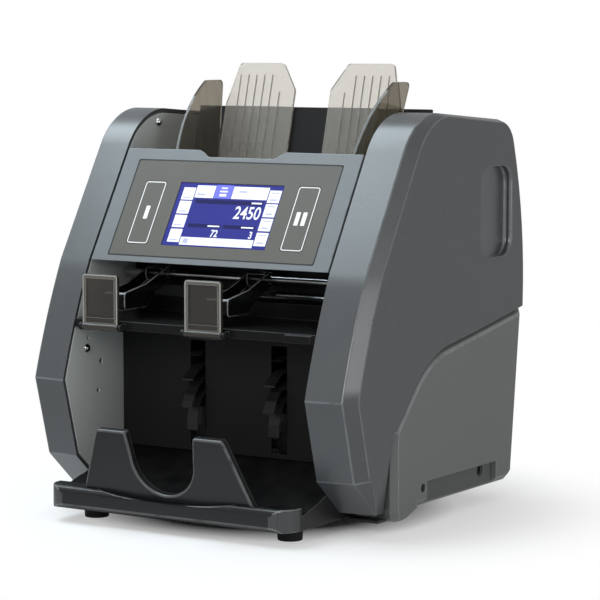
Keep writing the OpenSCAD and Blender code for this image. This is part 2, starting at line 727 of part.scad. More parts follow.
module reject_shelf() {
    color([0.13, 0.13, 0.14]) difference() {
        union() {
            translate([-span, -shelf_y, shelf_z - shelf_t]) cube([2 * span, shelf_y - shelf_back, shelf_t]);
            translate([-span, -shelf_y, shelf_z - shelf_lip]) cube([2 * span, shelf_t, shelf_lip]);
            translate([-span, -shelf_back - 2, shelf_z - shelf_t]) cube([2 * span, 2, panel_z - 1 - shelf_z + shelf_t]);
            translate([span - 2.6 - end_w, -shelf_y - 2.5, shelf_z - shelf_lip]) cube([end_w, 3, shelf_lip - 1]);
            for (c = stop_centres, s = [-1, 1])
                translate([c + s * (stop_w / 2 + knuckle_gap + lug_w / 2) - lug_w / 2, 0, 0]) {
                    at(stop_axis) rod(knuckle_r, 0, lug_w);
                    translate([0, stop_axis[0], stop_axis[1] - knuckle_r])
                        cube([lug_w, -shelf_y - stop_axis[0] + 1, 2 * knuckle_r]);
                }
        }
        for (c = stop_centres) at(stop_axis) rod(pin_r, c - stop_w / 2 - 2 * lug_w, c + stop_w / 2 + 2 * lug_w);
        translate([exit_in - span, -shelf_back - 3, shelf_z + 12]) cube([2 * (span - exit_in), 4, 9]);
    }
}
module stopper(c) {
    rim = 3;
    color([0.4, 0.38, 0.35, 0.6]) difference() {
        union() {
            translate([c, stop_axis[0] + stop_t / 2, stop_axis[1] + stop_h / 2]) rotate([90, 0, 0])
                linear_extrude(stop_t) rounded(stop_w, stop_h, 3);
            at(stop_axis) rod(knuckle_r, c - stop_w / 2, c + stop_w / 2);
        }
        translate([c, stop_axis[0] - stop_t / 2 + 0.8, stop_axis[1] + stop_h / 2 + 2]) rotate([90, 0, 0])
            linear_extrude(stop_t) rounded(stop_w - 2 * rim, stop_h - 2 * rim - 4, 2);
        at(stop_axis) rod(pin_r + run, c - stop_w, c + stop_w);
    }
}
module left_stopper() { stopper(stop_left); }
module right_stopper() { stopper(stop_right); }
// Side of a hold-down arm: a flat ski with a blunt nose, rising to the hub on the shaft
function arm_pts() = let (heel = [arm_flat - arm_len, -arm_drop], nose = arm_nose - arm_drop)
    concat(arc([3 - arm_len, 3 - arm_drop], 3, 180, 270, 4), [heel], bow(heel, [2, -arm_hub], 2.5, 6),
        arc([0, 0], arm_hub, -60, 95, 8), [[arm_flat - arm_len, nose + 4.5]], arc([4 - arm_len, nose - 4], 4, 98, 180, 5));
function arm_room() = let (heel = [arm_flat - arm_len, arm_t - arm_drop], over = arm_hub + 4)
    concat([[arm_t - arm_len, over]], arc([3 - arm_len, 3 - arm_drop], 3 - arm_t, 180, 270, 3), [heel],
        bow(heel, [0, arm_t - arm_hub], 2.5, 6), [[0, over]]);
module hold_arm(c) {
    x = c + arm_shift;
    color([0.06, 0.06, 0.06]) at(arm_axis) difference() {
        stand(x - arm_w / 2, arm_w) polygon(arm_pts());
        stand(x - arm_w / 2 + arm_t, arm_w - 2 * arm_t) difference() {
            polygon(arm_room());
            circle(arm_hub + 0.7);
        }
        rod(arm_pin_r + run, x - arm_w, x + arm_w);
    }
}
module left_hold_arm() { hold_arm(stop_left); }
module right_hold_arm() { hold_arm(stop_right); }
module hinge_pins() {
    color("silver") {
        for (c = stop_centres) at(stop_axis) rod(pin_r, c - stop_w / 2 - lug_w - knuckle_gap,
            c + stop_w / 2 + lug_w + knuckle_gap);
        at(arm_axis) rod(arm_pin_r, -frame_x, frame_x);
        sides() at(door_at) rod(pin_r, ear_x - ear_w - knuckle_gap, ear_x + ear_w);
    }
}
module diverter_gate() {
    color([0.15, 0.15, 0.16]) at(gate_at) {
        rod(gate_r, -outer_x, outer_x);
        rotate([27, 0, 0]) translate([-span + 10, -1, -16]) cube([2 * span - 20, 2, 16]);
    }
}
function tray_top(y) = 18 + (y + lip_y - 5) * tan(tray_tilt);
base_top = foot_h + base_t;
module stacker_back() {
    low = tray_top(panel_back + 2) + 0.3;
    color([0.1, 0.1, 0.1]) difference() {
        translate([-span, panel_back, low]) cube([2 * span, 2, shelf_z - shelf_t - 0.5 - low]);
        for (s = [-1, 1]) translate([s * wheel_x - wheel_w / 2 - slot_gap, panel_back - 1, low + 4])
            cube([wheel_w + 2 * slot_gap, 4, 84]);
    }
}
front_feet = [inner_x - 21.5, -109];
rear_feet = [inner_x - 47, 118];
lip_t = 5;
lip_r = 17;
// Depth of the raised blocks at the ends of the lip
lip_end = 20;
tray_wall = 3;
// Upper face of the lip, from its outer edge inwards
lip_edge = [[0, lip_z - 5.5], [0.5, lip_z - 3], [1.7, lip_z - 1.2], [3.6, lip_z - 0.2], [4.6, lip_z],
    [lip_end + 1, lip_z]];
module tray_plan() {
    wide = inner_x + 0.4;
    hull() for (s = [-1, 1]) {
        translate([s * (wide - lip_r), lip_r - lip_y]) circle(lip_r, $fn = 64);
        translate([s * (wide - 1) - 1, -102]) square(2);
    }
}
module tray() {
    front = -lip_y;
    step = base_front - 0.5;
    wide = inner_x + 0.4;
    color([0.11, 0.11, 0.12]) difference() {
        intersection() {
            stand(-wide, 2 * wide) polygon(concat([[front + 3, tray_z], [front, tray_z + 3]],
                [for (p = lip_edge) [front + p[0], p[1]]], [[tray_back, tray_top(tray_back) + 9],
                [tray_back, base_top], [step, base_top], [step, tray_z]]));
            linear_extrude(200) union() {
                tray_plan();
                translate([-span, -101]) square([2 * span, 101]);
            }
        }
        intersection() {
            stand(-wide - 1, 2 * wide + 2) polygon([[front, tray_top(front)],
                [tray_back + 1, tray_top(tray_back + 1)], [tray_back + 1, 100], [front, 100]]);
            linear_extrude(200) union() {
                translate([-stopper_foot - 1.5, front + lip_t]) square([2 * stopper_foot + 3, 120]);
                translate([-wide - 1, front + lip_end]) square([2 * wide + 2, 120]);
            }
        }
        difference() {
            stand(18 - span, 2 * (span - 18)) polygon([[front + lip_t + tray_wall, tray_z - 1],
                [front + lip_t + tray_wall, tray_top(front + lip_t) - tray_wall],
                [tray_back - tray_wall, tray_top(tray_back - tray_wall) - tray_wall], [tray_back - tray_wall, tray_z - 1]]);
            for (s = [-1, 1]) translate([s * front_feet[0], front_feet[1], 0]) cylinder(r = foot_d / 2 + 1, h = 60);
        }
        translate([0, front - 1, lip_z - 5 + 400]) rotate([-90, 0, 0]) cylinder(r = 400, h = lip_t + 2, $fn = 96);
    }
}
module stacker_stopper() {
    r = 4;
    color([0.11, 0.11, 0.12]) translate([0, -lip_y + 7.6, tray_top(-lip_y + 7.6)]) rotate([90 + stopper_lean, 0, 0])
        translate([0, 0, -stopper_t]) linear_extrude(stopper_t) difference() {
            hull() for (s = [-1, 1]) {
                translate([s * (stopper_top - r), stopper_h - r]) circle(r, $fn = 32);
                translate([s * (stopper_foot - 0.5), 1.5]) square(1, center = true);
            }
            translate([0, 11 + cut_w - 3]) circle(cut_w - 3);
            polygon([[-cut_w + 3, 8 + cut_w], [-cut_w, stopper_h + 1], [cut_w, stopper_h + 1], [cut_w - 3, 8 + cut_w]]);
        }
}
module feet() {
    color([0.08, 0.08, 0.08]) for (s = [-1, 1]) {
        translate([s * front_feet[0], front_feet[1], 0]) cylinder(r1 = foot_d / 2 - 0.6, r2 = foot_d / 2, h = tray_z);
        translate([s * rear_feet[0], rear_feet[1], 0]) cylinder(r1 = foot_d / 2 - 0.6, r2 = foot_d / 2, h = foot_h);
    }
}
module pulley(s, step, r) {
    x = pulley_x + step * pulley_step;
    side(s) {
        rod(r, x, x + belt_w);
        for (e = [x - 1, x + belt_w]) rod(r + belt_t, e, e + 1);
    }
}
pulley_end = belt_w + 2;
// Radii of the pulleys on the main belt, the feed belt and the pickup belt
main_r = [8, 14, 20];
feed_pr = 12;
pick_pr = 10;
module pickup_shaft() {
    color("silver") at(pick_at) {
        rod(shaft_r, -outer_x - 2, pulley_x + pulley_end);
        pulley(1, 0, pick_pr);
    }
}
module drilled() {
    difference() {
        children();
        rod(shaft_r + 0.01, -half_w, half_w);
    }
}
module pickup_rollers() { color([0.2, 0.2, 0.2]) at(pick_at) drilled() rollers(pick_r, roller_w); }
module feed_shaft() {
    color("silver") at(feed_at) {
        rod(shaft_r, -pulley_x - pulley_step - pulley_end, pulley_x + pulley_end);
        pulley(1, 0, pick_pr);
        pulley(-1, 1, feed_pr);
    }
}
module feed_rollers() { color([0.2, 0.2, 0.2]) at(feed_at) drilled() rollers(feed_r, roller_w); }
module upper_transport() {
    color([0.3, 0.3, 0.3]) at([trans_y, upper_z]) {
        rod(shaft_r, -pulley_x - pulley_step - pulley_end, outer_x + 2);
        rollers(trans_r, roller_w);
        pulley(-1, 1, feed_pr);
    }
}
module lower_transport() {
    color([0.3, 0.3, 0.3]) at([trans_y, lower_z]) {
        rod(shaft_r, -pulley_x - pulley_step - pulley_end, outer_x + 2);
        rollers(trans_r, roller_w);
        pulley(-1, 0, main_r[1]);
        pulley(-1, 1, feed_pr);
    }
}
module stacker_shaft() {
    color("silver") at(wheel_at) {
        rod(shaft_r, -pulley_x - pulley_end, outer_x + 2);
        pulley(-1, 0, main_r[2]);
    }
}
function fin_at(r, lag) = let (a = 60 * pow((r - hub_r) / (wheel_r - hub_r), 1.25) + lag * 180 / PI / r)
    r * [cos(a), sin(a)];
module stacker_wheel() {
    steps = [for (i = [0 : 7]) hub_r + (wheel_r - hub_r) * i / 7];
    difference() {
        union() {
            circle(hub_r + 0.5);
            for (i = [0 : fins - 1]) rotate(i * 360 / fins) polygon(concat([fin_at(hub_r, 0) * 0.95],
                [for (r = steps) fin_at(r, 0)], [for (j = [7 : -1 : 0]) fin_at(steps[j], fin_t)],
                [fin_at(hub_r, fin_t) * 0.95]));
        }
        circle(shaft_r + 0.01);
    }
}
module stacker_wheels() {
    color([0.75, 0.75, 0.72]) at(wheel_at) for (s = [-1, 1]) stand(s * wheel_x - wheel_w / 2, wheel_w) stacker_wheel();
}
module bearings() {
    color("goldenrod") for (p = shafts) at(p) sides() difference() {
        union() {
            rod(bush_r, frame_x, outer_x + 1);
            rod(bush_r + 1, outer_x, outer_x + 1);
        }
        rod(shaft_r + run, frame_x - 1, outer_x + 2);
    }
}
module drive_motor() {
    color([0.35, 0.35, 0.37]) at(motor_at) {
        rod(motor_r, -inner_x, motor_len - inner_x - 4);
        rod(motor_r - 3, motor_len - inner_x - 5, motor_len - inner_x);
        rod(7, -inner_x - liner_t, -inner_x + 1);
    }
}
module motor_pulley() {
    color("silver") at(motor_at) {
        rod(3, -pulley_x - pulley_end, -frame_x - 0.3);
        pulley(-1, 0, main_r[0]);
    }
}
module belt(s, step, turns) {
    x = pulley_x + step * pulley_step;
    side(s) stand(x + 0.2, belt_w - 0.4) difference() {
        hull() for (t = turns) translate(t[0]) circle(t[1] + 0.15 + belt_t);
        hull() for (t = turns) translate(t[0]) circle(t[1] + 0.15);
    }
}
module drive_belts() {
    color([0.08, 0.08, 0.08]) {
        belt(-1, 0, [[motor_at, main_r[0]], [[trans_y, lower_z], main_r[1]], [wheel_at, main_r[2]]]);
        belt(-1, 1, [[[trans_y, lower_z], feed_pr], [[trans_y, upper_z], feed_pr], [feed_at, feed_pr]]);
        belt(1, 0, [[pick_at, pick_pr], [feed_at, pick_pr]]);
    }
}
board_y = [-8, 100];
board_z = [40, 108];
module main_board() {
    x = outer_x + 5;
    color("darkgreen") {
        translate([x, board_y[0], board_z[0]]) cube([board_t, board_y[1] - board_y[0], board_z[1] - board_z[0]]);
        for (y = board_y, z = board_z) translate([0, y + (y == board_y[0] ? 5 : -5), z + (z == board_z[0] ? 5 : -5)])
            rod(2.5, outer_x, x);
        for (c = [[4, 80, 30, 20], [44, 68, 34, 34], [10, 52, 20, 16], [64, 46, 24, 16]])
            translate([x + board_t, c[0], c[1]]) cube([4, c[2], c[3]]);
    }
}
supply_x = -30;
supply_w = 120;
supply_d = 42;
supply_h = 38;
module power_supply() {
    color([0.6, 0.6, 0.62]) difference() {
        translate([supply_x, path_y + 6, base_top]) cube([supply_w, supply_d, supply_h]);
        for (x = [10 : 10 : supply_w - 10]) translate([supply_x + x, path_y + 11, base_top + supply_h - 2])
            cube([4, supply_d - 10, 4]);
    }
}
function rear_face(z) = rear_y - heel_in * (split_z - z) / (split_z - skirt_z) - rear_in;
module power_inlet() {
    w = inlet_size[0] - 0.4;
    h = inlet_size[1] - 0.4;
    y = rear_face(inlet_at[1]) + 1;
    color([0.05, 0.05, 0.05]) translate([inlet_at[0], 0, inlet_at[1]]) {
        difference() {
            translate([-w / 2, y - 16, -h / 2]) cube([w, 16, h]);
            translate([-w / 2 + 2, y - 14, -h / 2 + 2]) cube([w - 4, 20, h - 4]);
        }
        for (p = [[-7, -2], [0, 2], [7, -2]]) translate([p[0] - 1, y - 15, p[1] - 2]) cube([2, 13, 4]);
    }
}
switch_tilt = 8;
module power_switch() {
    w = switch_size[0] - 0.8;
    h = switch_size[1] - 1.6;
    y = rear_face(switch_at[1]);
    color([0.08, 0.08, 0.08]) translate([switch_at[0], y - 3, switch_at[1]]) rotate([switch_tilt, 0, 0])
        stand(-w / 2, w) polygon([[-3, -h / 2 + 1.5], [3.6, -h / 2], [2.6, 0], [3.6, h / 2], [-3, h / 2 - 1.5]]);
}
module pocket_sensors() {
    p = sensor_spots[1];
    color([0.7, 0.75, 0.8]) sides() at(p) intersection() {
        rod(p[2] - 0.02, inner_x - 2, frame_x);
        translate([inner_x + 1.6, 0, 0]) sphere(p[2] + 0.2);
    }
}
module screws() {
    color("silver") sides() {
        at(hopper_screw) {
            rod(1.98, inner_x - 0.5, frame_x);
            translate([inner_x, 0, 0]) rotate([0, -90, 0])
                rotate_extrude() polygon(concat([[0, 0]], arc([0, 0], 3.4, 0, 90, 6)));
        }
        for (p = foot_screws) at(p) {
            rod(1.48, frame_x, half_w - 7);
            rod(3.3, half_w - 8, half_w - 5.5);
        }
    }
}

base_plate();
left_frame();
right_frame();
left_wall();
right_wall();
left_cover();
right_cover();
left_lower_cover();
right_lower_cover();
top_cover();
rear_panel();
rear_door();
fascia();
overlay();
touchscreen();
control_board();
start_key();
stop_key();
hopper_floor();
hopper_back();
left_side_guide();
right_side_guide();
left_back_plate();
right_back_plate();
left_guide_rack();
right_guide_rack();
guide_pinion();
separator_roller();
image_sensors();
paper_guides();
reject_shelf();
left_stopper();
right_stopper();
left_hold_arm();
right_hold_arm();
hinge_pins();
diverter_gate();
stacker_back();
tray();
stacker_stopper();
feet();
pickup_shaft();
pickup_rollers();
feed_shaft();
feed_rollers();
upper_transport();
lower_transport();
stacker_shaft();
stacker_wheels();
bearings();
drive_motor();
motor_pulley();
drive_belts();
main_board();
power_supply();
power_inlet();
power_switch();
pocket_sensors();
screws();
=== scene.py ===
import json
import math
import bpy
from mathutils import Matrix, Vector
from mathutils.bvhtree import BVHTree


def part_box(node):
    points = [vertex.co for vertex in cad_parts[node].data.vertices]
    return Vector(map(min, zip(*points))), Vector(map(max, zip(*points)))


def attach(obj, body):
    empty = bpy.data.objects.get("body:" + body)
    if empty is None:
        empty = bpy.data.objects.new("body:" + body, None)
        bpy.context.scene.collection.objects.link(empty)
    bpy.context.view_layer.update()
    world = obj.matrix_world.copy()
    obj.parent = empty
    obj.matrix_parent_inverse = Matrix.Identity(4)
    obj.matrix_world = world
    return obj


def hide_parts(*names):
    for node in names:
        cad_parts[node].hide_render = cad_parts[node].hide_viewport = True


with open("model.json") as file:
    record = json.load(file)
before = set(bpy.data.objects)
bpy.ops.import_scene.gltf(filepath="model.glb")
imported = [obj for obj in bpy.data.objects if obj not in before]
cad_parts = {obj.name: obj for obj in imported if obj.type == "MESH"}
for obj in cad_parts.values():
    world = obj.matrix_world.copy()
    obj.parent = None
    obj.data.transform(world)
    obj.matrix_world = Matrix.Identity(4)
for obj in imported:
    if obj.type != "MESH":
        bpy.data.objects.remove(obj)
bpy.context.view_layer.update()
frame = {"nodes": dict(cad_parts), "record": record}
scene = bpy.context.scene
cadNodes = frame["nodes"]
bodies = frame["record"]["behaviour"]["bodies"]
bodyOf = {node: body for body, members in bodies.items() for node in members}
mm = 0.001


# Selecting and finishing

def pick(piece):
    if bpy.context.object and bpy.context.object.mode != "OBJECT":
        bpy.ops.object.mode_set(mode="OBJECT")
    bpy.ops.object.select_all(action="DESELECT")
    piece.select_set(True)
    bpy.context.view_layer.objects.active = piece


def applyAll(piece):
    pick(piece)
    for modifier in list(piece.modifiers):
        bpy.ops.object.modifier_apply(modifier=modifier.name)


def smooth(piece, angle):
    pick(piece)
    bpy.ops.object.shade_smooth_by_angle(angle=math.radians(angle))


def wear(piece, finish):
    piece.data.materials.clear()
    piece.data.materials.append(finish)


def join(pieces, name):
    pick(pieces[0])
    for piece in pieces[1:]:
        piece.select_set(True)
    bpy.ops.object.join()
    whole = bpy.context.object
    whole.name = name
    return whole


def facesBeside(mesh):
    ways = {}
    for face in mesh.polygons:
        for key in face.edge_keys:
            ways.setdefault(key, []).append(face.normal)
    return ways


def clearChoice(piece, kind):
    pick(piece)
    bpy.ops.object.mode_set(mode="EDIT")
    bpy.ops.mesh.select_mode(type=kind)
    bpy.ops.mesh.select_all(action="DESELECT")
    bpy.ops.object.mode_set(mode="OBJECT")


def chooseEdges(piece, chosen):
    clearChoice(piece, "EDGE")
    beside = facesBeside(piece.data)
    for edge in piece.data.edges:
        first, last = (piece.data.vertices[end].co / mm for end in edge.vertices)
        edge.select = chosen(first, last, beside[edge.key])
    bpy.ops.object.mode_set(mode="EDIT")


def chooseCorners(piece, chosen):
    clearChoice(piece, "VERT")
    for corner in piece.data.vertices:
        corner.select = chosen(corner.co / mm)
    bpy.ops.object.mode_set(mode="EDIT")


# Shader groups shared by the finishes

def addNode(tree, kind, inputs=None, **settings):
    node = tree.nodes.new(kind)
    for key, value in settings.items():
        setattr(node, key, value)
    for key, value in (inputs or {}).items():
        if isinstance(value, bpy.types.NodeSocket):
            tree.links.new(value, node.inputs[key])
        else:
            node.inputs[key].default_value = value
    return node


def noise(tree, place, scale, detail):
    node = addNode(tree, "ShaderNodeTexNoise", {"Vector": place, "Scale": scale, "Detail": detail})
    return node.outputs["Fac"]


def combine(tree, operation, *values, **settings):
    node = addNode(tree, "ShaderNodeMath", dict(enumerate(values)), operation=operation, **settings)
    return node.outputs[0]


def mapRange(tree, value, given=(0.0, 1.0), wanted=(0.0, 1.0), **settings):
    levels = {"Value": value, "From Min": given[0], "From Max": given[1]}
    levels.update({"To Min": wanted[0], "To Max": wanted[1]})
    return addNode(tree, "ShaderNodeMapRange", levels, **settings).outputs[0]


def objectPlace(tree):
    return addNode(tree, "ShaderNodeTexCoord").outputs["Object"]


def newGroup(name, inputs, outputs):
    group = bpy.data.node_groups.new(name, "ShaderNodeTree")
    for label, value in inputs.items():
        socket = group.interface.new_socket(name=label, in_out="INPUT", socket_type="NodeSocketFloat")
        socket.default_value = value
    for label in outputs:
        group.interface.new_socket(name=label, in_out="OUTPUT", socket_type="NodeSocketFloat")
    return group, group.nodes.new("NodeGroupInput"), group.nodes.new("NodeGroupOutput")


graining = {"fineDetail": 3.0, "fineShare": 0.35, "broadDetail": 4.0, "broadShare": 0.65}


def makeGrainGroup():
    group, given, result = newGroup("mouldedGrain", {"Scale": 1500, "Broad": 14}, ["Height", "Tone"])
    place = objectPlace(group)
    fine = noise(group, place, given.outputs["Scale"], graining["fineDetail"])
    cloud = noise(group, place, given.outputs["Broad"], graining["broadDetail"])
    speck = combine(group, "MULTIPLY", fine, graining["fineShare"])
    both = combine(group, "MULTIPLY_ADD", cloud, graining["broadShare"], speck)
    group.links.new(fine, result.inputs["Height"])
    group.links.new(both, result.inputs["Tone"])
    return group


# Edge wear together with a painted highlight: patches of the rounded edges are lightened
wearAndHighlightSpread = {"detail": 3.0, "patches": (0.2, 0.5)}


def makeWearAndHighlightGroup():
    group, given, result = newGroup("edgeWearAndHighlight", {"Scale": 120, "Amount": 0.5}, ["Mask"])
    edge = addNode(group, "ShaderNodeAttribute", attribute_name="edgeWearAndHighlight").outputs["Fac"]
    patch = noise(group, objectPlace(group), given.outputs["Scale"], wearAndHighlightSpread["detail"])
    wornAndLit = combine(group, "MULTIPLY", mapRange(group, patch, wearAndHighlightSpread["patches"]), edge)
    part = combine(group, "MULTIPLY", wornAndLit, given.outputs["Amount"])
    group.links.new(part, result.inputs["Mask"])
    return group


dusting = {"detail": 5.0, "level": (0.2, 0.95), "drift": (0.35, 0.75)}


def makeDustGroup():
    group, given, result = newGroup("settledDust", {"Scale": 60, "Amount": 0.1}, ["Mask"])
    way = addNode(group, "ShaderNodeNewGeometry").outputs["Normal"]
    up = addNode(group, "ShaderNodeSeparateXYZ", {0: way}).outputs["Z"]
    flat = mapRange(group, up, dusting["level"])
    drift = noise(group, objectPlace(group), given.outputs["Scale"], dusting["detail"])
    lain = combine(group, "MULTIPLY", flat, mapRange(group, drift, dusting["drift"]))
    part = combine(group, "MULTIPLY", lain, given.outputs["Amount"])
    group.links.new(part, result.inputs["Mask"])
    return group


drawing = {"lineDetail": 2.0, "cloudScale": 45.0, "cloudDetail": 4.0}


def makeBrushGroup():
    group, given, result = newGroup("drawnMetal", {"Along": 40, "Across": 1400}, ["Height", "Tone"])
    place = objectPlace(group)
    across = given.outputs["Across"]
    sizes = addNode(group, "ShaderNodeCombineXYZ", {"X": given.outputs["Along"], "Y": across, "Z": across})
    drawn = addNode(group, "ShaderNodeVectorMath", {0: place, 1: sizes.outputs[0]}, operation="MULTIPLY")
    lines = noise(group, drawn.outputs[0], 1.0, drawing["lineDetail"])
    cloud = noise(group, place, drawing["cloudScale"], drawing["cloudDetail"])
    group.links.new(lines, result.inputs["Height"])
    group.links.new(cloud, result.inputs["Tone"])
    return group


grainGroup = makeGrainGroup()
wearAndHighlightGroup = makeWearAndHighlightGroup()
dustGroup = makeDustGroup()
brushGroup = makeBrushGroup()
print("shader groups made")


# Finishes

def placeGroup(tree, group, **values):
    node = addNode(tree, "ShaderNodeGroup", node_tree=group)
    for label, value in values.items():
        node.inputs[label].default_value = value
    return node.outputs


def rgb(red, green, blue):
    def straight(level):
        share = level / 255
        return share / 12.92 if share <= 0.04045 else ((share + 0.055) / 1.055) ** 2.4
    return (straight(red), straight(green), straight(blue), 1)


def blend(tree, first, second, share):
    node = addNode(tree, "ShaderNodeMix", data_type="RGBA")
    for socket, value in ((node.inputs[0], share), (node.inputs[6], first), (node.inputs[7], second)):
        if isinstance(value, bpy.types.NodeSocket):
            tree.links.new(value, socket)
        else:
            socket.default_value = value
    return node.outputs[2]


def startFinish(name):
    finish = bpy.data.materials.new(name)
    finish.use_nodes = True
    tree = finish.node_tree
    return finish, tree, tree.nodes["Principled BSDF"]


def setSurface(tree, shader, colour, rough, height, depth, reach):
    tree.links.new(colour, shader.inputs["Base Color"])
    tree.links.new(rough, shader.inputs["Roughness"])
    bump = addNode(tree, "ShaderNodeBump", {"Strength": depth, "Distance": reach * mm, "Height": height})
    tree.links.new(bump.outputs[0], shader.inputs["Normal"])


plastic = {"broad": 14, "wearAndHighlightScale": 120, "dustScale": 60, "dustTone": rgb(190, 186, 178),
           "glossFrom": (0.3, 0.7), "reach": 0.4, "coatRough": 0.08}


def plasticFinish(name, tone, other, rough, grain=1500, depth=0.05, wearAndHighlight=0.35, wearAndHighlightTone=None, dust=0.05,
                  coat=0.0, specular=0.5):
    finish, tree, shader = startFinish(name)
    speckle = placeGroup(tree, grainGroup, Scale=grain, Broad=plastic["broad"])
    wornAndLit = placeGroup(tree, wearAndHighlightGroup, Scale=plastic["wearAndHighlightScale"], Amount=wearAndHighlight)
    settled = placeGroup(tree, dustGroup, Scale=plastic["dustScale"], Amount=dust)
    body = blend(tree, tone, other, speckle["Tone"])
    edged = blend(tree, body, wearAndHighlightTone or other, wornAndLit["Mask"])
    dusty = blend(tree, edged, plastic["dustTone"], settled["Mask"])
    gloss = mapRange(tree, speckle["Tone"], plastic["glossFrom"], rough)
    setSurface(tree, shader, dusty, gloss, speckle["Height"], depth, plastic["reach"])
    shader.inputs["Specular IOR Level"].default_value = specular
    shader.inputs["Coat Weight"].default_value = coat
    shader.inputs["Coat Roughness"].default_value = plastic["coatRough"]
    return finish


metal = {"reach": 0.2}


def metalFinish(name, tone, other, rough, along=40, across=1400, depth=0.08):
    finish, tree, shader = startFinish(name)
    drawn = placeGroup(tree, brushGroup, Along=along, Across=across)
    colour = blend(tree, tone, other, drawn["Tone"])
    gloss = mapRange(tree, drawn["Tone"], wanted=rough)
    setSurface(tree, shader, colour, gloss, drawn["Height"], depth, metal["reach"])
    shader.inputs["Metallic"].default_value = 1.0
    return finish


clear = {"scale": 260, "broad": 20, "ior": 1.46, "depth": 0.01, "reach": 0.2}


def clearFinish(name, tone, other, rough, through):
    finish, tree, shader = startFinish(name)
    speckle = placeGroup(tree, grainGroup, Scale=clear["scale"], Broad=clear["broad"])
    colour = blend(tree, tone, other, speckle["Tone"])
    gloss = mapRange(tree, speckle["Tone"], wanted=rough)
    setSurface(tree, shader, colour, gloss, speckle["Height"], clear["depth"], clear["reach"])
    shader.inputs["Transmission Weight"].default_value = through
    shader.inputs["IOR"].default_value = clear["ior"]
    return finish


lit = {"scale": 2600, "broad": 40, "rough": 0.25, "specular": 0.06}


def litFinish(name, tone, other, strength):
    finish, tree, shader = startFinish(name)
    speckle = placeGroup(tree, grainGroup, Scale=lit["scale"], Broad=lit["broad"])
    shown = blend(tree, tone, other, speckle["Tone"])
    tree.links.new(shown, shader.inputs["Base Color"])
    tree.links.new(shown, shader.inputs["Emission Color"])
    shader.inputs["Emission Strength"].default_value = strength
    shader.inputs["Roughness"].default_value = lit["rough"]
    shader.inputs["Specular IOR Level"].default_value = lit["specular"]
    return finish


board = {"scale": 120.0, "line": 0.04, "tones": (rgb(20, 78, 44), rgb(16, 64, 38)),
         "lineTone": rgb(64, 130, 84), "shade": rgb(12, 52, 34), "grain": 900, "broad": 30,
         "rough": (0.3, 0.5), "depth": 0.2, "reach": 0.3}


def boardFinish(name):
    finish, tree, shader = startFinish(name)
    first, second = board["tones"]
    tracks = addNode(tree, "ShaderNodeTexBrick", {"Vector": objectPlace(tree), "Scale": board["scale"],
                                                  "Color1": first, "Color2": second,
                                                  "Mortar": board["lineTone"], "Mortar Size": board["line"]})
    speckle = placeGroup(tree, grainGroup, Scale=board["grain"], Broad=board["broad"])
    colour = blend(tree, tracks.outputs["Color"], board["shade"], speckle["Tone"])
    gloss = mapRange(tree, speckle["Tone"], wanted=board["rough"])
    setSurface(tree, shader, colour, gloss, tracks.outputs["Fac"], board["depth"], board["reach"])
    return finish
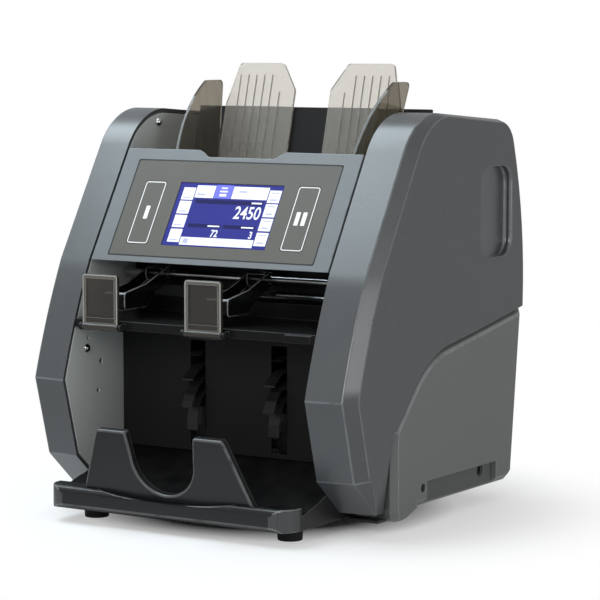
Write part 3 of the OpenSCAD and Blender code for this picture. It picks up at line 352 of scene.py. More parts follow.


# The lighter edge tones of these finishes are edge wear together with a painted highlight along the rounded
# edges
finishes = {
    "cover": plasticFinish("satinCover", rgb(60, 63, 65), rgb(67, 70, 72), (0.26, 0.32), depth=0.1,
                           wearAndHighlight=0.55, wearAndHighlightTone=rgb(116, 121, 123), specular=1.0),
    "lower_cover": plasticFinish("satinLowerCover", rgb(88, 92, 91), rgb(97, 101, 100), (0.28, 0.34),
                                 depth=0.1, wearAndHighlight=0.7, wearAndHighlightTone=rgb(134, 139, 139), specular=0.9),
    "panel": plasticFinish("satinPanel", rgb(72, 76, 79), rgb(80, 84, 87), (0.3, 0.36), depth=0.08,
                           wearAndHighlight=0.5, wearAndHighlightTone=rgb(150, 157, 161), specular=0.6),
    "overlay": plasticFinish("overlayFilm", rgb(78, 74, 68), rgb(86, 82, 76), (0.36, 0.44), grain=2600,
                             depth=0.02, wearAndHighlight=0.2, dust=0.02, specular=0.3),
    # The pocket walls' light grey is raised further as painted light, for inner walls the lamps barely reach
    "wall_plastic": plasticFinish("pocketWall", rgb(174, 178, 176), rgb(184, 188, 186), (0.42, 0.52),
                                  depth=0.08, specular=0.3),
    "dark_wall": plasticFinish("darkWall", rgb(20, 20, 21), rgb(28, 28, 29), (0.5, 0.6), depth=0.06,
                               specular=0.2),
    "black_plastic": plasticFinish("blackMoulding", rgb(24, 24, 26), rgb(33, 33, 35), (0.26, 0.36),
                                   depth=0.06, wearAndHighlight=0.7, wearAndHighlightTone=rgb(92, 92, 92), dust=0.02, specular=0.4),
    "shelf_black": plasticFinish("shelfMoulding", rgb(11, 11, 12), rgb(17, 17, 18), (0.3, 0.4), depth=0.06,
                                 wearAndHighlight=0.5, wearAndHighlightTone=rgb(52, 52, 52), dust=0.02, specular=0.2),
    "recess": plasticFinish("recessFloor", rgb(66, 69, 69), rgb(73, 76, 76), (0.34, 0.42), depth=0.1, wearAndHighlight=0,
                            specular=0.6),
    "lip_cap": plasticFinish("satinLipCap", rgb(58, 59, 60), rgb(66, 67, 68), (0.34, 0.42), depth=0.1,
                             wearAndHighlight=0.6, wearAndHighlightTone=rgb(120, 121, 121), dust=0.02, specular=0.5),
    "dark_screw": metalFinish("blackedScrew", rgb(34, 34, 35), rgb(44, 44, 45), (0.3, 0.4), along=500,
                              across=500),
    "gloss_black": plasticFinish("glossBlack", rgb(10, 10, 11), rgb(17, 17, 18), (0.12, 0.2), depth=0.02,
                                 wearAndHighlight=0.9, wearAndHighlightTone=rgb(150, 150, 150), coat=0.4, dust=0.02),
    "white_plastic": plasticFinish("whiteMoulding", rgb(206, 204, 198), rgb(220, 218, 212), (0.4, 0.5)),
    "rubber": plasticFinish("blackRubber", rgb(24, 24, 25), rgb(34, 34, 34), (0.6, 0.75), grain=900,
                            depth=0.2, dust=0.08, specular=0.25),
    "smoked_clear": clearFinish("smokedClear", rgb(148, 141, 128), rgb(140, 133, 120), (0.03, 0.07), 0.86),
    "clear_plate": clearFinish("paleClear", rgb(226, 222, 215), rgb(220, 216, 208), (0.04, 0.08), 0.8),
    "flap_clear": clearFinish("smokedFlap", rgb(112, 107, 100), rgb(104, 99, 92), (0.08, 0.14), 0.85),
    "dark_steel": metalFinish("darkSteel", rgb(58, 58, 60), rgb(70, 70, 72), (0.34, 0.46)),
    "bright": metalFinish("brightShaft", rgb(196, 198, 200), rgb(210, 212, 214), (0.16, 0.26), along=600,
                          across=900),
    "bronze": metalFinish("bronzeBush", rgb(168, 128, 76), rgb(182, 142, 88), (0.3, 0.42)),
    "alloy": metalFinish("castAlloy", rgb(160, 162, 164), rgb(176, 178, 180), (0.38, 0.5), along=300,
                         across=300),
    "screen": litFinish("screenGlow", rgb(38, 40, 116), rgb(44, 46, 128), 0.26),
    "lens": metalFinish("silverLens", rgb(150, 152, 154), rgb(172, 174, 176), (0.1, 0.18), along=300,
                        across=300, depth=0.01),
    "board": boardFinish("circuitBoard"),
}
wallShade = {"start": 76, "end": 96, "tone": rgb(26, 26, 27)}


# Painted shade: the pocket walls darken towards the back, where they run into the dark inside of the casing
def paintShadeBehind(finish):
    tree = finish.node_tree
    colour = tree.nodes["Principled BSDF"].inputs["Base Color"]
    along = addNode(tree, "ShaderNodeSeparateXYZ", {0: objectPlace(tree)}).outputs["Y"]
    deep = mapRange(tree, along, (wallShade["start"] * mm, wallShade["end"] * mm))
    tree.links.new(blend(tree, colour.links[0].from_socket, wallShade["tone"], deep), colour)


paintShadeBehind(finishes["wall_plastic"])
print("finishes made:", len(finishes))


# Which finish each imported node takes

finishNodes = {
    "cover": ["left_cover", "right_cover", "rear_door"],
    "lower_cover": ["left_lower_cover", "right_lower_cover", "rear_panel"],
    "panel": ["fascia"],
    "overlay": ["overlay", "start_key", "stop_key"],
    "screen": ["touchscreen"],
    "wall_plastic": ["left_wall", "right_wall"],
    "dark_wall": ["stacker_back", "hopper_back", "paper_guides", "image_sensors", "diverter_gate",
                  "hopper_floor"],
    "black_plastic": ["base_plate", "top_cover", "tray", "stacker_stopper", "power_inlet", "power_switch",
                      "stacker_wheels", "left_guide_rack", "right_guide_rack"],
    "shelf_black": ["reject_shelf"],
    "gloss_black": ["left_hold_arm", "right_hold_arm"],
    "white_plastic": ["guide_pinion"],
    "smoked_clear": ["left_side_guide", "right_side_guide"],
    "clear_plate": ["left_back_plate", "right_back_plate"],
    "flap_clear": ["left_stopper", "right_stopper"],
    "dark_steel": ["left_frame", "right_frame", "power_supply"],
    "bright": ["hinge_pins", "pickup_shaft", "feed_shaft", "upper_transport", "lower_transport",
               "stacker_shaft", "motor_pulley", "screws"],
    "rubber": ["feet", "pickup_rollers", "feed_rollers", "separator_roller", "drive_belts"],
    "bronze": ["bearings"],
    "alloy": ["drive_motor"],
    "board": ["control_board", "main_board"],
    "lens": ["pocket_sensors"],
}
finishOf = {node: finishes[key] for key, members in finishNodes.items() for node in members}
for node, part in cadNodes.items():
    wear(part, finishOf[node])
print("packed nodes dressed:", len(cadNodes))


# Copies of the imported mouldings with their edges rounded, sizes in mm and angles in degrees

rounding = {
    "angle": 28, "steps": 3, "weld": 0.02, "flat": 0.4, "smooth": 32, "faceWeight": 80,
    "roomShare": 0.45, "inLine": 0.9, "turns": 16, "growth": 1.35, "extra": 0.03,
    "stray": 1.1, "flapStray": 4, "leastStray": 0.9, "touch": 0.01,
}
gripEdges = {"width": 2.4, "depth": (70, 131.5), "height": (197, 273), "side": 138}
lowerRims = {"width": 1.6, "side": 145, "above": 46}
flapCorners = {"nodes": ("left_stopper", "right_stopper"), "width": 2.6, "steps": 5, "above": 190,
               "upright": 0.1, "fold": 0.9}
rearSkirt = {"edge": 1, "gap": 0.1}


def gripEdge(first, last):
    near, far = gripEdges["depth"]
    low, high = gripEdges["height"]
    return all(near < at.y < far and low < at.z < high and abs(at.x) > gripEdges["side"]
               for at in (first, last))


def lowerRim(first, last):
    return min(abs(first.x), abs(last.x)) > lowerRims["side"] and min(first.z, last.z) > lowerRims["above"]


def flapCorner(first, last, ways):
    folded = len(ways) == 2 and ways[0].dot(ways[1]) < flapCorners["fold"]
    upright = abs(first.x - last.x) < flapCorners["upright"]
    return folded and upright and min(first.z, last.z) > flapCorners["above"]


# Edges with a larger rounding than the rest of their moulding, and its width
widerEdges = {
    "left_cover": (gripEdge, gripEdges["width"]), "right_cover": (gripEdge, gripEdges["width"]),
    "left_lower_cover": (lowerRim, lowerRims["width"]), "right_lower_cover": (lowerRim, lowerRims["width"]),
}


# The width changes only little from one edge of a line to the next
def evenOut(rooms, nextTo):
    for turn in range(rounding["turns"]):
        for index, other in nextTo:
            if other in rooms:
                most = rounding["growth"] * rooms[other] + rounding["extra"] * mm
                rooms[index] = min(rooms[index], most)


# Each sharp edge is rounded as far as the edges beside it leave room
def weighEdges(piece, node, width, angle):
    mesh = piece.data
    beside = facesBeside(mesh)
    meeting = {}
    for edge in mesh.edges:
        for end in edge.vertices:
            meeting.setdefault(end, []).append(edge)
    isWider, wider = widerEdges.get(node, (None, 0))
    sharp = math.cos(math.radians(angle))
    rooms = {}
    nextTo = []
    for edge in mesh.edges:
        ways = beside.get(edge.key, [])
        if len(ways) != 2 or ways[0].dot(ways[1]) > sharp:
            continue
        first, last = (mesh.vertices[end].co for end in edge.vertices)
        along = (last - first).normalized()
        room = wider * mm if isWider and isWider(first / mm, last / mm) else width
        for end in edge.vertices:
            for other in meeting[end]:
                start, stop = (mesh.vertices[tip].co for tip in other.vertices)
                if abs((stop - start).normalized().dot(along)) < rounding["inLine"]:
                    room = min(room, rounding["roomShare"] * (stop - start).length)
                elif other.index != edge.index:
                    nextTo.append((edge.index, other.index))
        rooms[edge.index] = room
    evenOut(rooms, nextTo)
    widest = max(width, wider * mm)
    weights = mesh.attributes.new("bevel_weight_edge", "FLOAT", "EDGE")
    for index, room in rooms.items():
        weights.data[index].value = room / widest
    return widest


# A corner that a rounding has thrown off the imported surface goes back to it
def pullBack(piece, node, limit):
    packed = cadNodes[node].data
    surface = BVHTree.FromPolygons([corner.co for corner in packed.vertices],
                                   [list(face.vertices) for face in packed.polygons])
    low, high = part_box(node)
    for corner in piece.data.vertices:
        nearest, way, index, gap = surface.find_nearest(corner.co)
        outside = any(at < least or at > most for at, least, most in zip(corner.co, low, high))
        if gap > limit or (outside and gap > rounding["touch"] * mm):
            corner.co = nearest


# The rear panel's lower edge comes down to the base plate
def lowerSkirt(piece):
    low = min(corner.co.z for corner in piece.data.vertices) / mm
    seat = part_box("base_plate")[1][2] / mm
    chooseCorners(piece, lambda at: at.z < low + rearSkirt["edge"])
    bpy.ops.transform.translate(value=(0, 0, (seat + rearSkirt["gap"] - low) * mm))
    bpy.ops.object.mode_set(mode="OBJECT")


def cleanCopy(node, name):
    piece = bpy.data.objects.new(name, cadNodes[node].data.copy())
    scene.collection.objects.link(piece)
    pick(piece)
    if piece.data.has_custom_normals:
        bpy.ops.mesh.customdata_custom_splitnormals_clear()
    bpy.ops.object.mode_set(mode="EDIT")
    bpy.ops.mesh.select_all(action="SELECT")
    bpy.ops.mesh.remove_doubles(threshold=rounding["weld"] * mm)
    bpy.ops.mesh.dissolve_limited(angle_limit=math.radians(rounding["flat"]))
    if node in flapCorners["nodes"]:
        chooseEdges(piece, flapCorner)
        bpy.ops.mesh.bevel(offset=flapCorners["width"] * mm, segments=flapCorners["steps"], affect="EDGES",
                           clamp_overlap=True)
    bpy.ops.object.mode_set(mode="OBJECT")
    return piece


def softCopy(node, name, width, angle=rounding["angle"]):
    piece = cleanCopy(node, name)
    piece.data.materials.append(finishOf[node])
    smooth(piece, rounding["smooth"])
    bevel = piece.modifiers.new("roundEdges", "BEVEL")
    bevel.width = weighEdges(piece, node, width, angle)
    bevel.segments = rounding["steps"]
    bevel.limit_method = "WEIGHT"
    bevel.material = 1
    bevel.use_clamp_overlap = False
    bevel.loop_slide = False
    applyAll(piece)
    stray = rounding["flapStray"] if node in flapCorners["nodes"] else rounding["stray"]
    pullBack(piece, node, max(rounding["leastStray"] * mm, stray * width))
    if node == "rear_panel":
        lowerSkirt(piece)
    level = piece.modifiers.new("flatFaces", "WEIGHTED_NORMAL")
    level.keep_sharp = True
    level.weight = rounding["faceWeight"]
    applyAll(piece)
    # The bevel faces are marked for edge wear and a painted highlight
    wearAndHighlight = piece.data.attributes.new("edgeWearAndHighlight", "FLOAT", "FACE")
    for face in piece.data.polygons:
        wearAndHighlight.data[face.index].value = 1.0 if face.material_index == 1 else 0.0
        face.material_index = 0
    wear(piece, finishOf[node])
    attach(piece, bodyOf[node])
    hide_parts(node)
    return piece


roundings = {
    "left_cover": ("leftCover", 0.8, 20), "right_cover": ("rightCover", 0.8, 20),
    "left_lower_cover": ("leftLowerCover", 0.4, 24), "right_lower_cover": ("rightLowerCover", 0.4, 24),
    "top_cover": ("topCover", 0.8), "rear_panel": ("rearPanel", 0.6), "rear_door": ("rearDoor", 0.8),
    "fascia": ("panelMoulding", 0.7),
    "left_wall": ("leftPocketWall", 0.4), "right_wall": ("rightPocketWall", 0.4),
    "reject_shelf": ("rejectShelf", 0.5), "tray": ("stackerTray", 1.0),
    "stacker_stopper": ("stackerStop", 1.6),
    "left_stopper": ("leftFlap", 0.5), "right_stopper": ("rightFlap", 0.5),
    "left_hold_arm": ("leftHoldArm", 0.6), "right_hold_arm": ("rightHoldArm", 0.6),
    "feet": ("rubberFeet", 0.6), "stacker_back": ("stackerBackPlate", 0.5), "screws": ("caseScrews", 0.15),
}
rounded = {node: softCopy(node, given[0], given[1] * mm, *given[2:]) for node, given in roundings.items()}
print("rounded copies:", len(rounded))


# Satin corners and black floor of the tray, blacked screws, and a painted shade on the recess floor of the
# lower covers

trayCap = {"side": 94.6, "front": -122, "level": 0.9}
trayFloor = {"side": 112, "front": -143, "level": 0.8}
lowScrew = {"below": 60}
coverRecess = {"depth": (143, 144.6), "below": 33.4, "facing": 0.9}


def secondFinish(piece, key, chosen):
    piece.data.materials.append(finishes[key])
    for face in piece.data.polygons:
        if chosen(face.center / mm, face.normal):
            face.material_index = len(piece.data.materials) - 1


def onTrayCap(at, way):
    return abs(at.x) > trayCap["side"] and at.y < trayCap["front"] and way.z < trayCap["level"]


def onTrayFloor(at, way):
    return abs(at.x) < trayFloor["side"] and at.y > trayFloor["front"] and way.z > trayFloor["level"]


def onLowScrew(at, way):
    return at.z < lowScrew["below"]


def onRecess(at, way):
    near, far = coverRecess["depth"]
    return near < abs(at.x) < far and at.z < coverRecess["below"] and abs(way.x) > coverRecess["facing"]


secondFinish(rounded["tray"], "lip_cap", onTrayCap)
secondFinish(rounded["tray"], "shelf_black", onTrayFloor)
secondFinish(rounded["screws"], "dark_screw", onLowScrew)
# The recess faces of the lower covers take a darker finish, a painted shade
for node in ("left_lower_cover", "right_lower_cover"):
    secondFinish(rounded[node], "recess", onRecess)
print("second finishes placed")


# Thin plates and rings, drawn flat in mm and then laid on a face

panelFace = {"low": Vector((0, -88, 199)), "tilt": 58.7, "mid": 43.6}
panelTilt = Matrix.Rotation(math.radians(panelFace["tilt"]), 4, "X")
panelPlace = Matrix.Translation(panelFace["low"] * mm) @ panelTilt
plates = {"cornerSteps": 5, "cutReach": 1, "leastRadius": 0.2}


def panelPlate(name, box, low, thick, radius):
    left, right, bottom, top = box
    bpy.ops.object.select_all(action="DESELECT")
    bpy.ops.mesh.primitive_plane_add(size=1, location=(0, 0, 0))
    piece = bpy.context.object
    piece.name = name
    piece.scale = ((right - left) * mm, (top - bottom) * mm, 1)
    piece.location = ((left + right) / 2 * mm, (bottom + top) / 2 * mm, low * mm)
    bpy.ops.object.transform_apply(location=True, rotation=False, scale=True)
    bpy.ops.object.mode_set(mode="EDIT")
    bpy.ops.mesh.select_all(action="SELECT")
    bpy.ops.mesh.bevel(offset=radius * mm, segments=plates["cornerSteps"], affect="VERTICES")
    bpy.ops.mesh.select_all(action="SELECT")
    bpy.ops.mesh.extrude_region_move(TRANSFORM_OT_translate={"value": (0, 0, thick * mm)})
    bpy.ops.mesh.select_all(action="SELECT")
    bpy.ops.mesh.normals_make_consistent(inside=False)
    bpy.ops.object.mode_set(mode="OBJECT")
    return piece


def panelRing(name, box, low, thick, radius, line):
    piece = panelPlate(name, box, low, thick, radius)
    opening = (box[0] + line, box[1] - line, box[2] + line, box[3] - line)
    reach = plates["cutReach"]
    core = panelPlate(name + "Core", opening, low - reach, thick + 2 * reach,
                      max(radius - line, plates["leastRadius"]))
    pick(piece)
    cut = piece.modifiers.new("openMiddle", "BOOLEAN")
    cut.operation = "DIFFERENCE"
    cut.object = core
    cut.solver = "EXACT"
    applyAll(piece)
    bpy.data.objects.remove(core)
    return piece


def toPanel(piece, finish, body, place=panelPlace):
    pick(piece)
    piece.matrix_world = place
    bpy.ops.object.transform_apply(location=True, rotation=True, scale=True)
    wear(piece, finish)
    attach(piece, body)


# Dark ring round the overlay, a painted shade for its groove; print of the keys and picture of the screen

printInk = plasticFinish("printInk", rgb(226, 226, 224), rgb(236, 236, 234), (0.4, 0.5), grain=2600,
                         depth=0.02, wearAndHighlight=0, dust=0)
screenWhite = litFinish("screenWhite", rgb(206, 206, 220), rgb(220, 220, 232), 0.45)
screenNavy = litFinish("screenNavy", rgb(20, 18, 72), rgb(26, 24, 82), 0.2)
screenViolet = litFinish("screenViolet", rgb(96, 98, 196), rgb(106, 108, 206), 0.55)
screenGrey = litFinish("screenGrey", rgb(150, 152, 180), rgb(166, 168, 192), 0.5)

grooveShade = {"wide": 1.1, "radius": 1.6, "rise": 0.05}
overlaySpots = [panelPlace.inverted() @ corner.co / mm for corner in cadNodes["overlay"].data.vertices]
overlayTop = max(at.z for at in overlaySpots)
overlayAcross = [at.x for at in overlaySpots]
overlayAlong = [at.y for at in overlaySpots]
grooveShadeBox = (min(overlayAcross) - grooveShade["wide"], max(overlayAcross) + grooveShade["wide"],
             min(overlayAlong) - grooveShade["wide"], max(overlayAlong) + grooveShade["wide"])
grooveShadeRing = panelRing("overlayGrooveShade", grooveShadeBox, overlayTop, grooveShade["rise"], grooveShade["radius"],
                       grooveShade["wide"])
toPanel(grooveShadeRing, finishes["shelf_black"], "casing")

keyMarks = {"x": 71.2, "half": 9.6, "halfTall": 27.2, "line": 0.8, "radius": 2.2, "rise": 0.06,
            "barWide": 3.7, "barTall": 11.4, "barShift": 3.0, "barRadius": 0.3}
middle = panelFace["mid"]
for side, body, bars in ((-1, "start_key", [0]), (1, "stop_key", [-1, 1])):
    x = side * keyMarks["x"]
    frameBox = (x - keyMarks["half"], x + keyMarks["half"],
                middle - keyMarks["halfTall"], middle + keyMarks["halfTall"])
    pieces = [panelRing("keyFrame", frameBox, 0.0, keyMarks["rise"], keyMarks["radius"], keyMarks["line"])]
    for bar in bars:
        barMiddle = x + bar * keyMarks["barShift"]
        barBox = (barMiddle - keyMarks["barWide"] / 2, barMiddle + keyMarks["barWide"] / 2,
                  middle - keyMarks["barTall"] / 2, middle + keyMarks["barTall"] / 2)
        pieces.append(panelPlate("keyBar", barBox, 0.0, keyMarks["rise"], keyMarks["barRadius"]))
    toPanel(join(pieces, body + "Print"), printInk, body)

picture = {"face": -0.4, "rise": 0.03, "radius": 0.3}


def screenGroup(name, boxes, finish, lift=0):
    low = picture["face"] + lift * picture["rise"]
    pieces = []
    for index, (left, right, bottom, top) in enumerate(boxes):
        box = (left, right, middle + bottom, middle + top)
        pieces.append(panelPlate(name + str(index), box, low, picture["rise"], picture["radius"]))
    toPanel(join(pieces, name), finish, "casing")


# Each box of the picture gives left, right, bottom and top from the middle of the panel
tileRows = [(12.6, 23.4), (0.4, 11.6), (-11.6, -0.8), (-24.4, -13.0)]
tiles = [(-43.6, -32.4, low, high) for low, high in tileRows]
tiles += [(36.2, 47.0, low, high) for low, high in tileRows]
tiles += [(-31.6, -14.2, 14.8, 25.6), (2.6, 35.4, 14.8, 25.6), (-31.6, 35.4, -26.4, -19.6)]
screenGroup("screenTiles", tiles, screenWhite)
screenGroup("screenTab", [(-13.8, 2.2, 14.8, 26.4)], screenViolet)
screenBars = [(-29.0, 33.2, 9.8, 13.4), (-29.0, 1.6, -11.0, -7.8), (3.8, 33.2, -11.0, -7.8)]
screenGroup("screenBars", screenBars, screenNavy)
captions = [(-8.6, -3.0, 23.2, 24.4), (-9.4, -2.2, 20.2, 21.6), (-9.0, -2.6, 16.6, 18.8)]
captions += [(23.0, 32.4, 11.0, 12.4), (-10.6, 0.4, -10.0, -8.8), (20.4, 31.6, -10.0, -8.8)]
screenGroup("screenCaptions", captions, screenWhite, lift=1)
marks = [(-42.0, -35.0, low + 1.6, low + 2.6) for low, high in tileRows]
marks += [(38.6, 44.6, low + 2.0, low + 3.2) for low, high in tileRows]
marks += [(38.0, 45.2, high - 2.6, high - 1.8) for low, high in tileRows]
marks += [(-29.4, -22.4, 16.8, 18.4), (8.6, 15.6, 20.4, 22.0), (-28.8, -24.4, -25.0, -21.0)]
screenGroup("screenMarks", marks, screenGrey, lift=1)

digits = {"tallShare": 0.7, "weight": 0.2, "squeeze": 0.8, "lift": 1.5}


def screenNumber(words, right, bottom, tall):
    bpy.ops.object.select_all(action="DESELECT")
    bpy.ops.object.text_add(location=(0, 0, 0))
    piece = bpy.context.object
    piece.data.body = words
    piece.data.align_x = "RIGHT"
    piece.data.size = tall * mm / digits["tallShare"]
    piece.data.extrude = picture["rise"] * mm / 2
    piece.data.offset = digits["weight"] * mm
    bpy.ops.object.convert(target="MESH")
    piece = bpy.context.object
    piece.scale = (digits["squeeze"], 1, 1)
    low = picture["face"] + digits["lift"] * picture["rise"]
    piece.location = (right * mm, (middle + bottom) * mm, low * mm)
    bpy.ops.object.transform_apply(location=True, rotation=False, scale=True)
    return piece


numbers = [screenNumber("2450", 34.0, -2.0, 10.6), screenNumber("72", 0.8, -18.4, 5.8),
           screenNumber("3", 32.6, -18.4, 5.8)]
toPanel(join(numbers, "screenNumbers"), screenWhite, "casing")
print("panel print and screen picture placed")


# Lighter rim, band and window line on the reject flaps, a painted highlight for their stepped moulding

flapMarks = {
    "middles": {"left_stopper": -81.5, "right_stopper": 14.5}, "front": -113.8, "low": 149.5,
    "wide": 33.5, "tall": 41.0, "inset": 0.3, "foot": 0.6, "rise": 0.12,
    "rim": 0.9, "rimRadius": 2.4, "band": 3.0, "bandRadius": 1.5, "bandRise": 0.6,
    "window": (-13.75, 13.75, 7.0, 38.0), "lineLow": -0.8, "lineThick": 0.95, "lineRadius": 0.8, "line": 0.5,
}
flapRimHighlight = clearFinish("flapRimHighlight", rgb(176, 174, 168), rgb(168, 166, 160), (0.1, 0.16), 0.25)
flapBandHighlight = clearFinish("flapBandHighlight", rgb(142, 138, 131), rgb(134, 130, 123), (0.1, 0.16), 0.6)
flapLineHighlight = clearFinish("flapLineHighlight", rgb(122, 119, 113), rgb(114, 111, 105), (0.1, 0.16), 0.3)
for node, x in flapMarks["middles"].items():
    place = Matrix.Translation(Vector((x, flapMarks["front"], flapMarks["low"])) * mm)
    place = place @ Matrix.Rotation(math.radians(90), 4, "X")
    half = flapMarks["wide"] / 2 - flapMarks["inset"]
    rise = flapMarks["rise"]
    outer = (-half, half, flapMarks["foot"], flapMarks["tall"] - flapMarks["inset"])
    rim = panelRing("flapRimHighlight", outer, 0.0, rise, flapMarks["rimRadius"], flapMarks["rim"])
    toPanel(rim, flapRimHighlight, bodyOf[node], place)
    inner = [side + flapMarks["rim"] * sign for side, sign in zip(outer, (1, -1, 1, -1))]
    band = panelRing("flapBandHighlight", inner, 0.0, rise * flapMarks["bandRise"], flapMarks["bandRadius"],
                     flapMarks["band"] - flapMarks["rim"])
    toPanel(band, flapBandHighlight, bodyOf[node], place)
    line = panelRing("flapLineHighlight", flapMarks["window"], flapMarks["lineLow"], flapMarks["lineThick"],
                     flapMarks["lineRadius"], flapMarks["line"])
    toPanel(line, flapLineHighlight, bodyOf[node], place)
print("flap lines placed")


# Dark rings round the lower cover screws, a painted shade for their wells

screwWellShades = {"face": 144.0, "spots": ((-9, 29.4), (86.7, 29.4)), "outer": 4.7, "wide": 1.3, "rise": 0.1,
              "steps": 40}


def wellShadeRing(side, spot):
    bpy.ops.object.select_all(action="DESELECT")
    bpy.ops.mesh.primitive_circle_add(vertices=screwWellShades["steps"], radius=screwWellShades["outer"] * mm,
                                      fill_type="NGON", location=(0, 0, 0))
    ring = bpy.context.object
    bpy.ops.object.mode_set(mode="EDIT")
    bpy.ops.mesh.select_all(action="SELECT")
    bpy.ops.mesh.inset(thickness=screwWellShades["wide"] * mm, depth=0)
    bpy.ops.mesh.delete(type="FACE")
    bpy.ops.mesh.select_all(action="SELECT")
    bpy.ops.mesh.extrude_region_move(TRANSFORM_OT_translate={"value": (0, 0, screwWellShades["rise"] * mm)})
    bpy.ops.mesh.select_all(action="SELECT")
    bpy.ops.mesh.normals_make_consistent(inside=False)
    bpy.ops.object.mode_set(mode="OBJECT")
    place = Matrix.Translation(Vector((side * screwWellShades["face"], spot[0], spot[1])) * mm)
    ring.matrix_world = place @ Matrix.Rotation(math.radians(90 * side), 4, "Y")
    bpy.ops.object.transform_apply(location=True, rotation=True, scale=True)
    return ring


wellShades = join([wellShadeRing(side, spot) for side in (-1, 1) for spot in screwWellShades["spots"]], "screwWellShades")
wear(wellShades, finishes["shelf_black"])
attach(wellShades, bodyOf["right_lower_cover"])
print("screw wells placed")


# Dark crests of the ribs on the clear back plates, a painted shade where the clear ribs show dark; the first
# is shorter and nearer

backRibs = {
    "top": (0, 71.38, 351.5), "lean": 75, "height": 100.01, "first": 32.0, "pitch": 7.7, "count": 6,
    "wide": 0.9, "foot": 8, "head": 10, "firstShift": 1, "firstDrop": 14,
    "low": 0.48, "rise": 0.08, "radius": 0.3,
}
ribCrestShadeFinish = plasticFinish("ribCrestShade", rgb(120, 113, 104), rgb(130, 123, 114), (0.3, 0.4), depth=0.02, wearAndHighlight=0,
                       dust=0)
backLean = Matrix.Rotation(math.radians(backRibs["lean"]), 4, "X")
backPlace = Matrix.Translation(Vector(backRibs["top"]) * mm) @ backLean
for side, node in ((-1, "left_back_plate"), (1, "right_back_plate")):
    crests = []
    for index in range(backRibs["count"]):
        isFirst = 1 if index == 0 else 0
        x = side * (backRibs["first"] + index * backRibs["pitch"] - isFirst * backRibs["firstShift"])
        low = backRibs["foot"] - backRibs["height"]
        high = -backRibs["head"] - isFirst * backRibs["firstDrop"]
        half = backRibs["wide"] / 2
        crests.append(panelPlate("ribCrestShade" + str(index), (x - half, x + half, low, high), backRibs["low"],
                                 backRibs["rise"], backRibs["radius"]))
    toPanel(join(crests, node + "Crests"), ribCrestShadeFinish, bodyOf[node], backPlace)
print("rib crests placed")


# Stage, light and camera, sizes in metres

stage = {
    "radius": 9, "steps": 96, "tone": (0.92, 0.92, 0.92, 1), "rough": 0.9, "white": (1, 1, 1, 1),
    "fade": (0.15, 0.32), "glow": (0.45, 1.0), "under": (0.1, 0.15), "sky": (0.36, 1.0), "mirrored": 0.45,
}
lights = {
    "overheadLight": {"place": (-0.65, -0.3, 1.2), "target": (-0.65, -0.3, 0), "size": (1.1, 1.08),
                      "power": 18.6, "tint": (0.8, 0.93, 1.0)},
    "rightStripLight": {"place": (1.3, -0.27, 0.36), "target": (0.12, 0.0, 0.2), "size": (0.5, 0.55),
                        "power": 2.6, "tint": (1.0, 1.0, 1.0)},
    "frontLight": {"place": (0.45, -1.7, 0.8), "target": (0, 0, 0.2), "size": (0.8, 0.6),
                   "power": 9, "tint": (1.0, 0.99, 0.97)},
}
view = {"place": (1.1168, -1.7239, 0.3757), "down": 84.15, "round": 32.24, "lens": 156.24, "sensor": 36}


def seenShare(tree, rays):
    first = combine(tree, "MAXIMUM", rays["Is Camera Ray"], rays["Is Glossy Ray"])
    return combine(tree, "MAXIMUM", first, rays["Is Transmission Ray"])


def mirrorLevel(tree, rays):
    mirrored = combine(tree, "SUBTRACT", rays["Is Glossy Ray"], rays["Is Transmission Ray"], use_clamp=True)
    return mapRange(tree, mirrored, wanted=(1.0, stage["mirrored"]))


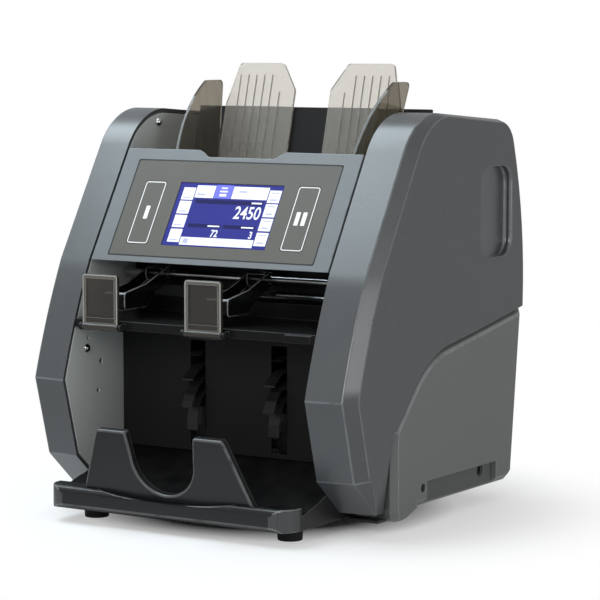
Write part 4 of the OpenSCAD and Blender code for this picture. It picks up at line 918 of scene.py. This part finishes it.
def makeFloor():
    bpy.ops.object.select_all(action="DESELECT")
    bpy.ops.mesh.primitive_circle_add(vertices=stage["steps"], radius=stage["radius"], fill_type="NGON",
                                      location=(0, 0, 0))
    floor = bpy.context.object
    floor.name = "studioFloor"
    finish, tree, shader = startFinish("paleFloor")
    shader.inputs["Base Color"].default_value = stage["tone"]
    shader.inputs["Roughness"].default_value = stage["rough"]
    away = addNode(tree, "ShaderNodeVectorMath", {0: objectPlace(tree)}, operation="LENGTH").outputs["Value"]
    fade = mapRange(tree, away, stage["fade"], interpolation_type="SMOOTHSTEP")
    glow = mapRange(tree, fade, wanted=stage["glow"])
    near = combine(tree, "MULTIPLY", glow, mapRange(tree, away, stage["under"]))
    rays = addNode(tree, "ShaderNodeLightPath").outputs
    share = combine(tree, "MULTIPLY", seenShare(tree, rays), near)
    level = mirrorLevel(tree, rays)
    white = addNode(tree, "ShaderNodeEmission", {"Color": stage["white"], "Strength": level})
    mix = addNode(tree, "ShaderNodeMixShader", {0: share, 1: shader.outputs[0], 2: white.outputs[0]})
    tree.links.new(mix.outputs[0], tree.nodes["Material Output"].inputs["Surface"])
    wear(floor, finish)


def makeSky():
    world = bpy.data.worlds.new("studioWorld")
    scene.world = world
    world.use_nodes = True
    tree = world.node_tree
    rays = addNode(tree, "ShaderNodeLightPath").outputs
    glow = mapRange(tree, seenShare(tree, rays), wanted=stage["sky"])
    calm = combine(tree, "MULTIPLY", glow, mirrorLevel(tree, rays))
    tree.links.new(calm, tree.nodes["Background"].inputs["Strength"])
    tree.nodes["Background"].inputs["Color"].default_value = stage["white"]


def softBox(name, given):
    light = bpy.data.lights.new(name, "AREA")
    light.shape = "RECTANGLE"
    light.size = given["size"][0]
    light.size_y = given["size"][1]
    light.energy = given["power"]
    light.color = given["tint"]
    lamp = bpy.data.objects.new(name, light)
    lamp.visible_camera = False
    scene.collection.objects.link(lamp)
    lamp.location = given["place"]
    facing = Vector(given["place"]) - Vector(given["target"])
    lamp.rotation_euler = facing.to_track_quat("Z", "Y").to_euler()


def makeCamera():
    lens = bpy.data.cameras.new("photoCamera")
    lens.sensor_width = view["sensor"]
    lens.lens = view["lens"]
    eye = bpy.data.objects.new("photoCamera", lens)
    scene.collection.objects.link(eye)
    eye.location = view["place"]
    eye.rotation_euler = (math.radians(view["down"]), 0, math.radians(view["round"]))
    scene.camera = eye


makeFloor()
makeSky()
for name, given in lights.items():
    softBox(name, given)
makeCamera()
scene.view_settings.view_transform = "Standard"
print("stage, light and camera set")
